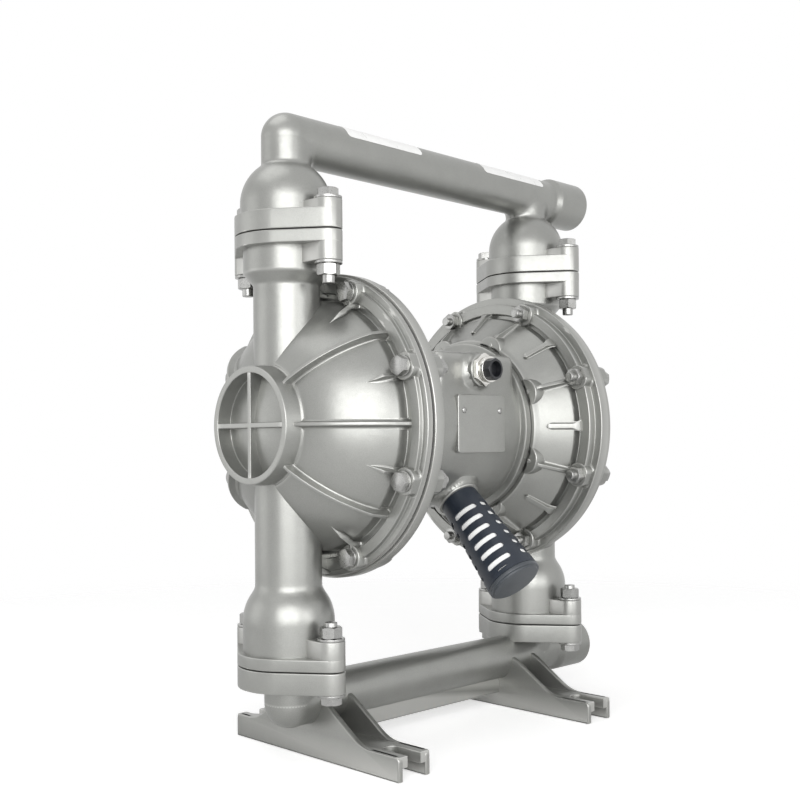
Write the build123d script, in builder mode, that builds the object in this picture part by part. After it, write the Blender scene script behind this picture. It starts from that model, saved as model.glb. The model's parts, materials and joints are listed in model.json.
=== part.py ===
from build123d import *
import math
import os

os.makedirs("parts", exist_ok=True)

# Frame: X along the diaphragm shaft, both ports open towards +X, the silencer
# and the air inlet look towards -Y, Z up. The origin is on the floor, in the
# middle of the four foot slots. All sizes are millimetres.

# Where the main axes lie
shaft_z = 325.0
column_x = 185.0
seam_top_z = 507.0
seam_low_z = 95.0
tube_top_z = seam_top_z + 98.0
tube_low_z = seam_low_z - 39.0
joint_gap = 1.0

# Tubes, necks and ports
tube_r = 24.0
tube_bore_r = 18.0
neck_top_r = 23.0
neck_bore_r = 17.0
neck_low_r = 24.5
port_x = 272.0
collar_x = 224.0
collar_r = 28.5
port_thread_r = 22.4
port_thread_l = 26.0

# Two-bolt flanges
flange_core_r = 50.0
flange_boss_r = 13.5
flange_bolt_y = 62.0
flange_hole_r = 6.6
outlet_flange_t = 19.0
cap_top_flange_t = 12.5
cap_low_flange_t = 11.5
inlet_flange_t = 21.0
boss_above = 28.5
boss_below = 29.5

# Ball cages, seats and balls
dome_r = 44.5
cage_r = 38.0
dome_top_z = seam_top_z + 32.0
dome_low_z = seam_low_z + 41.5
ball_r = 24.0
ball_lift = 9.0
ball_guide_gap = 0.6
seat_gap = 0.25
seat_r = 42.0
seat_bore_r = 18.5
seat_depth = 10.0
seat_chamfer = 4.0
seat_fit = 0.1
ring_section_r = 1.7

# Fluid cap
column_r = 32.5
column_bore_r = 25.0
cap_collar_r = 42.0
cap_collar_z = seam_top_z - 35.0
cap_cone_h = 11.0
clamp_r = 152.5
seam_x = 138.5
rim_t = 3.0
cap_face_x = seam_x + rim_t / 2
air_face_x = seam_x - rim_t / 2
cap_edge_x = 148.8
cap_rim_x = 155.0
rim_out_r = 141.5
rim_in_r = 134.0
end_ring_x = 230.0
end_ring_r = 58.7
end_ring_wall = 9.0
end_ring_deep = 10.5
rib_t = 5.0

# Clamp bolts round each diaphragm
clamp_bolt_r = 138.0
clamp_count = 8
clamp_first_deg = 22.5
clamp_hole_r = 5.5
clamp_boss_r = 13.0
air_boss_x = 112.0
spot_face_r = 10.4

# Centre body
hub_x = 74.0
hub_flange_t = 9.0
hub_gasket_t = 1.0
body_end_x = hub_x - hub_gasket_t
hub_r = 96.0
lobe_at_r = 92.0
body_lobe_r = 13.0
air_lobe_r = 17.0
barrel_r = 88.0
body_top_z = shaft_z + 78.0
body_back_y = 86.0
pad_y = 89.7
pad_w = 74.0
pad_h = 60.0
hub_screw_at = 80.0
hub_screw_r = 4.0
seal_r = 18.0
seal_l = 5.0

# Air inlet
inlet_x = -3.0
inlet_z = shaft_z + 57.5
inlet_boss_r = 17.0
inlet_boss_y = 93.0
inlet_thread_r = 10.0
supply_y = 50.0
supply_r = 7.0

# Air valve on the back, between the two end flanges of the centre body
valve_side_gap = 2.0
valve_w = 2 * (body_end_x - hub_flange_t - valve_side_gap)
valve_h = 76.0
valve_t = 50.0
valve_gasket_t = 1.5
spool_r = 11.0
spool_bore_r = 11.05
spool_y = body_back_y + valve_gasket_t + 26.0
spool_reach = 40.0
spool_travel = 7.0
end_cap_r = 17.0

# Silencer, a cone that leans down from its root on the barrel
silencer_root_y = -50.9
silencer_root_z = 253.1
silencer_deg = 46.6
silencer_l = 118.6
silencer_root_r = 20.2
silencer_end_r = 28.8
silencer_wall = 2.2
silencer_cap_t = 6.0
silencer_neck_r = 13.0
silencer_boss_r = 24.0
silencer_floor = 4.0
silencer_taper = (silencer_end_r - silencer_root_r) / (silencer_l - silencer_floor)
core_gap = 0.3
core_start = silencer_floor + 0.2
core_bore_r = 10.0

# Shaft, plates and diaphragm
shaft_r = 12.5
shaft_run_gap = 0.05
bush_r = 16.0
stud_r = 8.0
plate_r = 78.0
inner_plate_x = 112.0
outer_plate_x = 152.0
diaphragm_t = 4.0
pilot_r = 4.0
pilot_z = shaft_z + 32.0
pilot_reach = 94.5

# Feet
foot_x = 145.0
foot_w = 41.0
foot_wall = 6.0
foot_front_y = 131.0
foot_back_y = 113.0
foot_top_z = 23.0
foot_plate_t = 11.0
slot_y = 102.5
slot_r = 8.5

shaft_line = Axis((0, 0, shaft_z), (1, 0, 0))


def bolt_angles():
    """Angles of the clamp bolts round the shaft, in degrees."""
    return [clamp_first_deg + 360.0 / clamp_count * i for i in range(clamp_count)]


def radial_plane(angle):
    """Plane through the shaft line: local x is world X, local y points outwards."""
    a = math.radians(angle)
    return Plane(origin=(0, 0, shaft_z), x_dir=(1, 0, 0), z_dir=(0, -math.sin(a), math.cos(a)))


def write(part, name):
    """Give a finished piece its label and write its file."""
    part.label = name
    export_step(part, "parts/" + name + ".step")


def oval(x, z):
    """Outline of a two-bolt flange at height z: the hull of a core and two bosses."""
    with BuildSketch(Plane.XY.offset(z)) as outline:
        with Locations((x, 0)):
            Circle(flange_core_r)
        with Locations((x, flange_bolt_y), (x, -flange_bolt_y)):
            Circle(flange_boss_r)
        make_hull()
    return outline.sketch


def discs(points, z, radius):
    """Equal circles at the given XY points at height z."""
    with BuildSketch(Plane.XY.offset(z)) as marks:
        with Locations(*points):
            Circle(radius)
    return marks.sketch


def bolt_points(x):
    return [(x, flange_bolt_y), (x, -flange_bolt_y)]


def cage_space(x, base_z, round_z, rest_z):
    """Hollow of a ball cage: a bore with a round top, less four guide ribs.

    The ribs leave exactly the room that the ball sweeps from its seat to the
    top of its lift, plus the guide gap.
    """
    lifted_z = rest_z + ball_lift
    with BuildPart() as space:
        with BuildSketch(Plane.XY.offset(base_z)):
            with Locations((x, 0)):
                Circle(cage_r)
        extrude(amount=round_z - base_z)
        with Locations((x, 0, round_z)):
            Sphere(cage_r)
        with BuildSketch(Plane.XY.offset(base_z)):
            with Locations((x, 0)):
                with PolarLocations(26.0, 4, start_angle=45):
                    Rectangle(28.0, 5.0)
        extrude(amount=round_z + cage_r - base_z, mode=Mode.SUBTRACT)
        with BuildSketch(Plane.XY.offset(base_z)):
            with Locations((x, 0)):
                Circle(ball_r + ball_guide_gap)
        extrude(amount=lifted_z - base_z)
        with Locations((x, 0, lifted_z)):
            Sphere(ball_r + ball_guide_gap)
    return space.part


# Heights that follow from the seats: a seat ring stands one joint gap proud of
# the lower face and the upper casting clamps it
rest_rise = math.sqrt(ball_r ** 2 - seat_bore_r ** 2) - seat_chamfer + joint_gap / 2 + seat_gap
ball_low_z = seam_low_z + rest_rise
ball_top_z = seam_top_z + rest_rise


# Outlet manifold: two flanged ball-cage domes, necks, the tube and its port
with BuildPart() as outlet:
    face_z = seam_top_z + joint_gap / 2
    for x in (-column_x, column_x):
        extrude(oval(x, face_z), amount=outlet_flange_t)
        extrude(discs(bolt_points(x), face_z, flange_boss_r), amount=boss_above - joint_gap / 2)
        with Locations((x, 0, (face_z + dome_top_z) / 2)):
            Cylinder(dome_r, dome_top_z - face_z)
        with Locations((x, 0, dome_top_z)):
            Sphere(dome_r)
        with Locations((x, 0, (dome_top_z + tube_top_z) / 2)):
            Cylinder(neck_top_r, tube_top_z - dome_top_z)
    with Locations((-column_x, 0, tube_top_z)):
        Sphere(tube_r)
    with BuildSketch(Plane.XZ) as tube_half:
        with BuildLine():
            Polyline(
                (-column_x, tube_top_z),
                (-column_x, tube_top_z + tube_r),
                (collar_x - 9.0, tube_top_z + tube_r),
                (collar_x, tube_top_z + collar_r),
                (port_x - 2.0, tube_top_z + collar_r),
                (port_x, tube_top_z + collar_r - 2.0),
                (port_x, tube_top_z),
                close=True,
            )
        make_face()
    revolve(axis=Axis((0, 0, tube_top_z), (1, 0, 0)))
    split(bisect_by=Plane.XY.offset(face_z), keep=Keep.TOP)
    for x in (-column_x, column_x):
        add(cage_space(x, face_z - 1.0, dome_top_z, ball_top_z), mode=Mode.SUBTRACT)
        with Locations((x, 0, (dome_top_z + cage_r - 8.0 + tube_top_z) / 2)):
            Cylinder(neck_bore_r, tube_top_z - dome_top_z - cage_r + 8.0, mode=Mode.SUBTRACT)
        with BuildSketch(Plane.XY.offset(face_z)):
            with Locations(*bolt_points(x)):
                Circle(flange_hole_r)
        extrude(amount=boss_above + 1.0, mode=Mode.SUBTRACT)
    with Locations((-column_x, 0, tube_top_z)):
        Sphere(tube_bore_r, mode=Mode.SUBTRACT)
    with BuildSketch(Plane.YZ.offset(-column_x)):
        with Locations((0, tube_top_z)):
            Circle(tube_bore_r)
    extrude(amount=column_x + port_x, mode=Mode.SUBTRACT)
    with BuildSketch(Plane.YZ.offset(port_x - port_thread_l)):
        with Locations((0, tube_top_z)):
            Circle(port_thread_r)
    extrude(amount=port_thread_l, mode=Mode.SUBTRACT)
write(outlet.part, "outlet_manifold")


# Inlet manifold: flanges that carry the lower seats, the tube and its port,
# a web under the tube, and two channel feet with slots that open at the ends
with BuildPart() as inlet:
    face_z = seam_low_z - joint_gap / 2
    for x in (-column_x, column_x):
        extrude(oval(x, face_z), amount=-(inlet_flange_t - joint_gap / 2))
        with Locations((x, 0, (face_z + tube_low_z) / 2)):
            Cylinder(neck_low_r, face_z - tube_low_z)
    with Locations((-column_x, 0, tube_low_z)):
        Sphere(neck_low_r)
    with BuildSketch(Plane.XZ) as low_half:
        with BuildLine():
            Polyline(
                (-column_x, tube_low_z),
                (-column_x, tube_low_z + tube_r),
                (collar_x - 9.0, tube_low_z + tube_r),
                (collar_x, tube_low_z + collar_r),
                (port_x - 2.0, tube_low_z + collar_r),
                (port_x, tube_low_z + collar_r - 2.0),
                (port_x, tube_low_z),
                close=True,
            )
        make_face()
    revolve(axis=Axis((0, 0, tube_low_z), (1, 0, 0)))
    for x in (-foot_x, foot_x):
        for wall_x in (x - foot_w / 2, x + foot_w / 2 - foot_wall):
            with BuildSketch(Plane.YZ.offset(wall_x)):
                with BuildLine():
                    Polyline(
                        (-foot_front_y, 0),
                        (-foot_front_y, foot_top_z),
                        (-80.0, foot_top_z),
                        (-24.0, 60.4),
                        (24.0, 60.4),
                        (80.0, foot_top_z),
                        (foot_back_y, foot_top_z),
                        (foot_back_y, 0),
                        close=True,
                    )
                make_face()
            extrude(amount=foot_wall)
        with BuildSketch(Plane.XY.offset(foot_top_z - foot_plate_t)):
            with Locations((x, (foot_back_y - foot_front_y) / 2)):
                Rectangle(foot_w, foot_front_y + foot_back_y)
        extrude(amount=foot_plate_t)
    with BuildSketch(Plane.YZ.offset(-foot_x)):
        with Locations((0, 35.0)):
            Rectangle(8.0, 39.0)
    extrude(amount=2 * foot_x)
    for x in (-foot_x, foot_x):
        for end in (-1.0, 1.0):
            reach = foot_front_y if end < 0 else foot_back_y
            with BuildSketch(Plane.XY.offset(foot_top_z - foot_plate_t - 1.0)):
                with Locations((x, end * slot_y)):
                    Circle(slot_r)
                with Locations((x, end * (slot_y + reach + 5.0) / 2)):
                    Rectangle(2 * slot_r, reach + 5.0 - slot_y)
            extrude(amount=foot_plate_t + 2.0, mode=Mode.SUBTRACT)
    for x in (-column_x, column_x):
        with BuildSketch(Plane.XY.offset(face_z)):
            with Locations((x, 0)):
                Circle(seat_r + seat_fit)
        extrude(amount=-seat_depth, mode=Mode.SUBTRACT)
        with BuildSketch(Plane.XY.offset(face_z)):
            with Locations((x, 0)):
                Circle(tube_bore_r)
        extrude(amount=-(face_z - tube_low_z), mode=Mode.SUBTRACT)
        with BuildSketch(Plane.XY.offset(face_z)):
            with Locations(*bolt_points(x)):
                Circle(flange_hole_r)
        extrude(amount=-inlet_flange_t, mode=Mode.SUBTRACT)
    with Locations((-column_x, 0, tube_low_z)):
        Sphere(tube_bore_r, mode=Mode.SUBTRACT)
    with BuildSketch(Plane.YZ.offset(-column_x)):
        with Locations((0, tube_low_z)):
            Circle(tube_bore_r)
    extrude(amount=column_x + port_x, mode=Mode.SUBTRACT)
    with BuildSketch(Plane.YZ.offset(port_x - port_thread_l)):
        with Locations((0, tube_low_z)):
            Circle(port_thread_r)
    extrude(amount=port_thread_l, mode=Mode.SUBTRACT)
write(inlet.part, "inlet_manifold")


def fluid_cap(side):
    """One fluid chamber casting: the chamber, its column and its two flanges."""
    x = side * column_x
    top_z = seam_top_z - joint_gap / 2
    low_z = seam_low_z + joint_gap / 2
    plate_top_z = seam_top_z - cap_top_flange_t
    with BuildPart() as cap:
        with BuildSketch(Plane.XZ):
            with BuildLine():
                outer = Polyline(
                    (side * cap_face_x, shaft_z),
                    (side * cap_face_x, shaft_z + clamp_r),
                    (side * (cap_edge_x - 1.5), shaft_z + clamp_r),
                    (side * cap_edge_x, shaft_z + clamp_r - 1.5),
                    (side * cap_edge_x, shaft_z + rim_out_r),
                    (side * cap_rim_x, shaft_z + rim_out_r),
                    (side * cap_rim_x, shaft_z + rim_in_r),
                    (side * 149.0, shaft_z + 132.5),
                    (side * 158.0, shaft_z + 128.0),
                )
                dome = ThreePointArc(
                    outer @ 1,
                    (side * 188.0, shaft_z + 96.5),
                    (side * 209.5, shaft_z + end_ring_r),
                )
                Polyline(
                    dome @ 1,
                    (side * end_ring_x, shaft_z + end_ring_r),
                    (side * end_ring_x, shaft_z),
                    (side * cap_face_x, shaft_z),
                )
            make_face()
        revolve(axis=shaft_line)
        # long ribs from the end ring to the rim, and a short spike at each bolt
        for angle in (0, 45, -45, 135, 180, -135):
            with BuildSketch(radial_plane(angle)):
                with BuildLine():
                    rib = Polyline(
                        (side * 214.0, 56.0),
                        (side * 196.0, 56.0),
                        (side * 150.0, 120.0),
                        (side * 150.0, 135.0),
                        (side * cap_rim_x, 135.0),
                        (side * 163.0, 130.0),
                    )
                    ThreePointArc(rib @ 1, (side * 193.0, 99.5), rib @ 0)
                make_face()
            extrude(amount=rib_t / 2, both=True)
        for angle in bolt_angles():
            with BuildSketch(radial_plane(angle)):
                with BuildLine():
                    Polyline(
                        (side * 148.0, 137.0),
                        (side * cap_rim_x, 137.0),
                        (side * cap_rim_x, 127.6),
                        (side * 162.5, 126.5),
                        (side * 179.5, 106.0),
                        (side * 165.0, 106.0),
                        (side * 148.0, 120.0),
                        close=True,
                    )
                make_face()
            extrude(amount=rib_t / 2 - 0.5, both=True)
        with BuildSketch(Plane.YZ.offset(side * cap_face_x)):
            with Locations((0, shaft_z)):
                with PolarLocations(clamp_bolt_r, clamp_count, start_angle=clamp_first_deg):
                    Circle(clamp_boss_r)
        extrude(amount=side * (cap_rim_x - cap_face_x))
        with BuildSketch(Plane.YZ.offset(side * cap_rim_x)):
            with Locations((0, shaft_z)):
                with PolarLocations(clamp_bolt_r, clamp_count, start_angle=clamp_first_deg):
                    Circle(spot_face_r)
        extrude(amount=side * 12.0, mode=Mode.SUBTRACT)
        # column with its upper collar, its lower ball-cage dome and flanges
        with Locations((x, 0, (dome_low_z + plate_top_z) / 2)):
            Cylinder(column_r, plate_top_z - dome_low_z)
        with Locations((x, 0, (cap_collar_z + plate_top_z) / 2)):
            Cylinder(cap_collar_r, plate_top_z - cap_collar_z)
        with Locations((x, 0, cap_collar_z - cap_cone_h / 2)):
            Cone(column_r, cap_collar_r, cap_cone_h)
        extrude(oval(x, plate_top_z), amount=top_z - plate_top_z)
        extrude(discs(bolt_points(x), seam_top_z - boss_below, flange_boss_r),
                amount=boss_below - joint_gap / 2)
        with Locations((x, 0, dome_low_z)):
            Sphere(dome_r)
        with Locations((x, 0, (low_z + dome_low_z) / 2)):
            Cylinder(dome_r, dome_low_z - low_z)
        extrude(oval(x, low_z), amount=cap_low_flange_t)
        extrude(discs(bolt_points(x), low_z, flange_boss_r), amount=boss_above - joint_gap / 2)
        split(bisect_by=Plane.XY.offset(low_z), keep=Keep.TOP)
        # recess of the end ring, with a cross left standing in it
        with BuildSketch(Plane.YZ.offset(side * end_ring_x)):
            with Locations((0, shaft_z)):
                Circle(end_ring_r - end_ring_wall)
                Rectangle(2 * end_ring_r, rib_t, mode=Mode.SUBTRACT)
                Rectangle(rib_t, 2 * end_ring_r, mode=Mode.SUBTRACT)
        extrude(amount=-side * end_ring_deep, mode=Mode.SUBTRACT)
        # chamber, passage, cage, seat recess and holes
        with BuildSketch(Plane.XZ):
            with BuildLine():
                wall = Polyline(
                    (side * (cap_face_x - 1.0), shaft_z),
                    (side * (cap_face_x - 1.0), shaft_z + 124.0),
                    (side * 149.0, shaft_z + 124.0),
                )
                inner = ThreePointArc(
                    wall @ 1,
                    (side * 180.5, shaft_z + 91.0),
                    (side * 200.0, shaft_z + 52.0),
                )
                Polyline(
                    inner @ 1,
                    (side * 206.0, shaft_z + 30.0),
                    (side * 207.0, shaft_z),
                    (side * (cap_face_x - 1.0), shaft_z),
                )
            make_face()
        revolve(axis=shaft_line, mode=Mode.SUBTRACT)
        with Locations((x, 0, (dome_low_z + top_z) / 2)):
            Cylinder(column_bore_r, top_z - dome_low_z, mode=Mode.SUBTRACT)
        add(cage_space(x, low_z - 1.0, dome_low_z, ball_low_z), mode=Mode.SUBTRACT)
        with BuildSketch(Plane.XY.offset(top_z)):
            with Locations((x, 0)):
                Circle(seat_r + seat_fit)
        extrude(amount=-seat_depth, mode=Mode.SUBTRACT)
        with BuildSketch(Plane.YZ.offset(side * (cap_face_x - 1.0))):
            with Locations((0, shaft_z)):
                with PolarLocations(clamp_bolt_r, clamp_count, start_angle=clamp_first_deg):
                    Circle(clamp_hole_r)
        extrude(amount=side * 30.0, mode=Mode.SUBTRACT)
        for z, tall in ((top_z, -boss_below), (low_z, boss_above)):
            with BuildSketch(Plane.XY.offset(z)):
                with Locations(*bolt_points(x)):
                    Circle(flange_hole_r)
            extrude(amount=tall, mode=Mode.SUBTRACT)
    return cap.part


left_cap = fluid_cap(-1)
write(left_cap, "fluid_cap_left")
write(mirror(left_cap, about=Plane.YZ), "fluid_cap_right")


def air_chamber(side):
    """One air chamber casting: a dish between the clamp rim and the hub."""
    with BuildPart() as dish:
        with BuildSketch(Plane.XZ):
            with BuildLine():
                outside = Polyline(
                    (side * 86.0, shaft_z + 45.0),
                    (side * hub_x, shaft_z + 45.0),
                    (side * hub_x, shaft_z + 99.0),
                    (side * 79.0, shaft_z + 102.0),
                    (side * 113.0, shaft_z + 130.0),
                    (side * 117.0, shaft_z + rim_in_r),
                    (side * air_boss_x, shaft_z + rim_in_r + 1.0),
                    (side * air_boss_x, shaft_z + rim_out_r),
                    (side * 123.0, shaft_z + rim_out_r + 1.0),
                    (side * 123.0, shaft_z + clamp_r - 1.5),
                    (side * 124.5, shaft_z + clamp_r),
                    (side * air_face_x, shaft_z + clamp_r),
                    (side * air_face_x, shaft_z + 124.0),
                    (side * 122.0, shaft_z + 124.0),
                )
                inside = ThreePointArc(
                    outside @ 1,
                    (side * 104.0, shaft_z + 113.0),
                    (side * 86.0, shaft_z + 88.0),
                )
                Line(inside @ 1, outside @ 0)
            make_face()
        revolve(axis=shaft_line)
        for angle in bolt_angles():
            with BuildSketch(radial_plane(angle)):
                with BuildLine():
                    Polyline(
                        (side * hub_x, 94.0),
                        (side * hub_x, 104.0),
                        (side * 84.0, 112.0),
                        (side * air_boss_x, 127.5),
                        (side * 124.0, 132.0),
                        (side * 90.0, 96.0),
                        close=True,
                    )
                make_face()
            extrude(amount=rib_t / 2 + 0.5, both=True)
            with BuildSketch(radial_plane(angle + 180.0 / clamp_count)):
                with BuildLine():
                    Polyline(
                        (side * 94.0, 113.0),
                        (side * air_boss_x, 136.0),
                        (side * 124.0, 136.0),
                        (side * 108.0, 120.0),
                        close=True,
                    )
                make_face()
            extrude(amount=rib_t / 2, both=True)
        with BuildSketch(Plane.YZ.offset(side * air_boss_x)):
            with Locations((0, shaft_z)):
                with PolarLocations(clamp_bolt_r, clamp_count, start_angle=clamp_first_deg):
                    Circle(clamp_boss_r)
        extrude(amount=side * (air_face_x - air_boss_x))
        with BuildSketch(Plane.YZ.offset(side * air_boss_x)):
            with Locations((0, shaft_z)):
                with PolarLocations(clamp_bolt_r, clamp_count, start_angle=clamp_first_deg):
                    Circle(spot_face_r)
        extrude(amount=-side * 12.0, mode=Mode.SUBTRACT)
        with BuildSketch(Plane.YZ.offset(side * hub_x)):
            with Locations((0, shaft_z)):
                with PolarLocations(lobe_at_r, clamp_count, start_angle=clamp_first_deg):
                    Circle(air_lobe_r)
        extrude(amount=side * 14.0)
        with BuildSketch(Plane.XZ):
            with BuildLine():
                clear = Polyline(
                    (side * air_face_x, shaft_z),
                    (side * air_face_x, shaft_z + 124.0),
                    (side * 122.0, shaft_z + 124.0),
                )
                back = ThreePointArc(
                    clear @ 1,
                    (side * 104.0, shaft_z + 113.0),
                    (side * 86.0, shaft_z + 88.0),
                )
                Polyline(
                    back @ 1,
                    (side * 86.0, shaft_z),
                    (side * air_face_x, shaft_z),
                )
            make_face()
        revolve(axis=shaft_line, mode=Mode.SUBTRACT)
        with BuildSketch(Plane.YZ.offset(side * (hub_x - 1.0))):
            with Locations((0, shaft_z)):
                with PolarLocations(hub_screw_at, clamp_count, start_angle=clamp_first_deg):
                    Circle(4.4)
        extrude(amount=side * 20.0, mode=Mode.SUBTRACT)
        with BuildSketch(Plane.YZ.offset(side * (air_boss_x - 1.0))):
            with Locations((0, shaft_z)):
                with PolarLocations(clamp_bolt_r, clamp_count, start_angle=clamp_first_deg):
                    Circle(clamp_hole_r)
        extrude(amount=side * 30.0, mode=Mode.SUBTRACT)
    return dish.part


left_chamber = air_chamber(-1)
write(left_chamber, "air_chamber_left")
write(mirror(left_chamber, about=Plane.YZ), "air_chamber_right")


silencer_axis = (
    0.0,
    -math.cos(math.radians(silencer_deg)),
    -math.sin(math.radians(silencer_deg)),
)


def silencer_plane(along):
    """Plane across the silencer's axis, a distance along it from its root."""
    return Plane(
        origin=(
            0.0,
            silencer_root_y + along * silencer_axis[1],
            silencer_root_z + along * silencer_axis[2],
        ),
        x_dir=(1, 0, 0),
        z_dir=silencer_axis,
    )


def across(y, x, z):
    """Plane that faces -Y at a distance y in front of the shaft, centred on x and z."""
    return Plane(origin=(x, -y, z), x_dir=(1, 0, 0), z_dir=(0, -1, 0))


# Centre body: a barrel with a flat top and back, end flanges with lobes, the
# air inlet boss, the silencer boss and the raised pad for a nameplate
with BuildPart() as body:
    with BuildSketch(Plane.YZ.offset(-body_end_x)):
        with Locations((0, shaft_z)):
            Circle(barrel_r)
        with Locations((0, body_top_z + 50.0)):
            Rectangle(240.0, 100.0, mode=Mode.SUBTRACT)
        with Locations((body_back_y + 50.0, shaft_z)):
            Rectangle(100.0, 240.0, mode=Mode.SUBTRACT)
    extrude(amount=2 * body_end_x)
    for start_x in (-body_end_x, body_end_x - hub_flange_t):
        with BuildSketch(Plane.YZ.offset(start_x)):
            with Locations((0, shaft_z)):
                Circle(hub_r)
                with PolarLocations(lobe_at_r, clamp_count, start_angle=clamp_first_deg):
                    Circle(body_lobe_r)
        extrude(amount=hub_flange_t)
    with BuildSketch(across(60.0, 0.0, shaft_z + 2.0)):
        RectangleRounded(pad_w, pad_h, 4.0)
    extrude(amount=pad_y - 60.0)
    with BuildSketch(across(50.0, inlet_x, inlet_z)):
        Circle(inlet_boss_r)
    extrude(amount=inlet_boss_y - 50.0)
    with BuildSketch(silencer_plane(-45.0)):
        Circle(silencer_boss_r)
    extrude(amount=45.0)
    with BuildSketch(silencer_plane(0.0)):
        Circle(silencer_boss_r + 1.0)
    extrude(amount=40.0, mode=Mode.SUBTRACT)
    with BuildSketch(Plane.XZ.offset(-body_back_y)):
        with Locations((0, shaft_z)):
            Rectangle(valve_w, valve_h)
    extrude(amount=40.0)
    # exhaust chamber round the core, with the supply air's tube left across it
    with BuildSketch(Plane.YZ.offset(-58.0)):
        with Locations((0, shaft_z)):
            Circle(72.0)
            Circle(46.0, mode=Mode.SUBTRACT)
        with Locations((60.0, shaft_z)):
            Rectangle(16.0, 80.0, mode=Mode.SUBTRACT)
    extrude(amount=116.0, mode=Mode.SUBTRACT)
    with BuildSketch(across(86.0, inlet_x, inlet_z)):
        Circle(inlet_boss_r - 3.0)
    extrude(amount=-(86.0 + supply_y))
    with BuildSketch(Plane.XY.offset(shaft_z + 18.0)):
        with Locations((inlet_x, supply_y)):
            Circle(inlet_boss_r - 3.0)
    extrude(amount=50.0)
    with BuildSketch(Plane.YZ.offset(-body_end_x)):
        with Locations((0, shaft_z)):
            Circle(bush_r)
    extrude(amount=2 * body_end_x, mode=Mode.SUBTRACT)
    for end in (-1.0, 1.0):
        with BuildSketch(Plane.YZ.offset(end * body_end_x)):
            with Locations((0, shaft_z)):
                Circle(seal_r)
        extrude(amount=-end * (seal_l + 1.5), mode=Mode.SUBTRACT)
        with BuildSketch(Plane.YZ.offset(end * body_end_x)):
            with Locations((0, shaft_z)):
                with PolarLocations(hub_screw_at, clamp_count, start_angle=clamp_first_deg):
                    Circle(hub_screw_r)
        extrude(amount=-end * 18.0, mode=Mode.SUBTRACT)
    with BuildSketch(Plane.YZ.offset(-body_end_x)):
        with Locations((0, pilot_z)):
            Circle(pilot_r + shaft_run_gap)
    extrude(amount=2 * body_end_x, mode=Mode.SUBTRACT)
    with BuildSketch(across(inlet_boss_y, inlet_x, inlet_z)):
        Circle(inlet_thread_r)
    extrude(amount=-(inlet_boss_y - 70.0), mode=Mode.SUBTRACT)
    with BuildSketch(across(inlet_boss_y, inlet_x, inlet_z)):
        Circle(supply_r)
    extrude(amount=-(inlet_boss_y + supply_y), mode=Mode.SUBTRACT)
    with BuildSketch(Plane.XY.offset(shaft_z + 30.0)):
        with Locations((inlet_x, supply_y)):
            Circle(supply_r)
    extrude(amount=inlet_z - shaft_z - 30.0, mode=Mode.SUBTRACT)
    with BuildSketch(Plane.XZ.offset(-body_back_y)):
        with Locations((inlet_x, shaft_z + 30.0)):
            Circle(supply_r)
    extrude(amount=body_back_y - supply_y, mode=Mode.SUBTRACT)
    with BuildSketch(silencer_plane(0.0)):
        Circle(silencer_neck_r)
    extrude(amount=-46.0, mode=Mode.SUBTRACT)
    for x in (-28.0, 28.0):
        with BuildSketch(across(pad_y, x, shaft_z + 15.8)):
            Circle(1.6)
        extrude(amount=-6.0, mode=Mode.SUBTRACT)
    with BuildSketch(across(pad_y, 0.0, shaft_z - 15.0)):
        Circle(2.1)
    extrude(amount=-8.0, mode=Mode.SUBTRACT)
write(body.part, "centre_body")


# Gaskets between the hub of each air chamber and the centre body
with BuildPart() as hub_gaskets:
    for start_x in (-hub_x, body_end_x):
        with BuildSketch(Plane.YZ.offset(start_x)):
            with Locations((0, shaft_z)):
                Circle(hub_r - 2.0)
                Circle(46.0, mode=Mode.SUBTRACT)
                with PolarLocations(hub_screw_at, clamp_count, start_angle=clamp_first_deg):
                    Circle(hub_screw_r + 0.6, mode=Mode.SUBTRACT)
        extrude(amount=hub_gasket_t)
write(hub_gaskets.part, "hub_gaskets")


# Air valve on the back: gasket, body, spool, end caps and screws
valve_front_y = body_back_y + valve_gasket_t
screw_spots = [
    (sx * (valve_w / 2 - 9.0), shaft_z + sz * (valve_h / 2 - 9.0)) for sx in (-1, 1) for sz in (-1, 1)
]
port_spots = [(inlet_x, shaft_z + 30.0), (-22.0, shaft_z), (22.0, shaft_z), (0.0, shaft_z - 26.0)]

with BuildPart() as valve_gasket:
    with BuildSketch(Plane.XZ.offset(-body_back_y)):
        with Locations((0, shaft_z)):
            RectangleRounded(valve_w, valve_h, 6.0)
        with Locations(*port_spots):
            Circle(supply_r, mode=Mode.SUBTRACT)
        with Locations(*screw_spots):
            Circle(3.4, mode=Mode.SUBTRACT)
    extrude(amount=-valve_gasket_t)
write(valve_gasket.part, "valve_gasket")

with BuildPart() as valve_body:
    with BuildSketch(Plane.XZ.offset(-valve_front_y)):
        with Locations((0, shaft_z)):
            RectangleRounded(valve_w, valve_h, 6.0)
    extrude(amount=-valve_t)
    with BuildSketch(Plane.YZ.offset(-valve_w / 2)):
        with Locations((spool_y, shaft_z)):
            Circle(spool_bore_r)
    extrude(amount=valve_w, mode=Mode.SUBTRACT)
    for end in (-1.0, 1.0):
        with BuildSketch(Plane.YZ.offset(end * valve_w / 2)):
            with Locations((spool_y, shaft_z)):
                Circle(end_cap_r - 3.0)
        extrude(amount=-end * 8.0, mode=Mode.SUBTRACT)
    with BuildSketch(Plane.XZ.offset(-valve_front_y)):
        with Locations(*port_spots[1:3]):
            Circle(6.0)
    extrude(amount=-20.0, mode=Mode.SUBTRACT)
    with BuildSketch(Plane.XZ.offset(-valve_front_y)):
        with Locations(*screw_spots):
            Circle(3.3)
    extrude(amount=-valve_t, mode=Mode.SUBTRACT)
write(valve_body.part, "valve_body")

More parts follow.
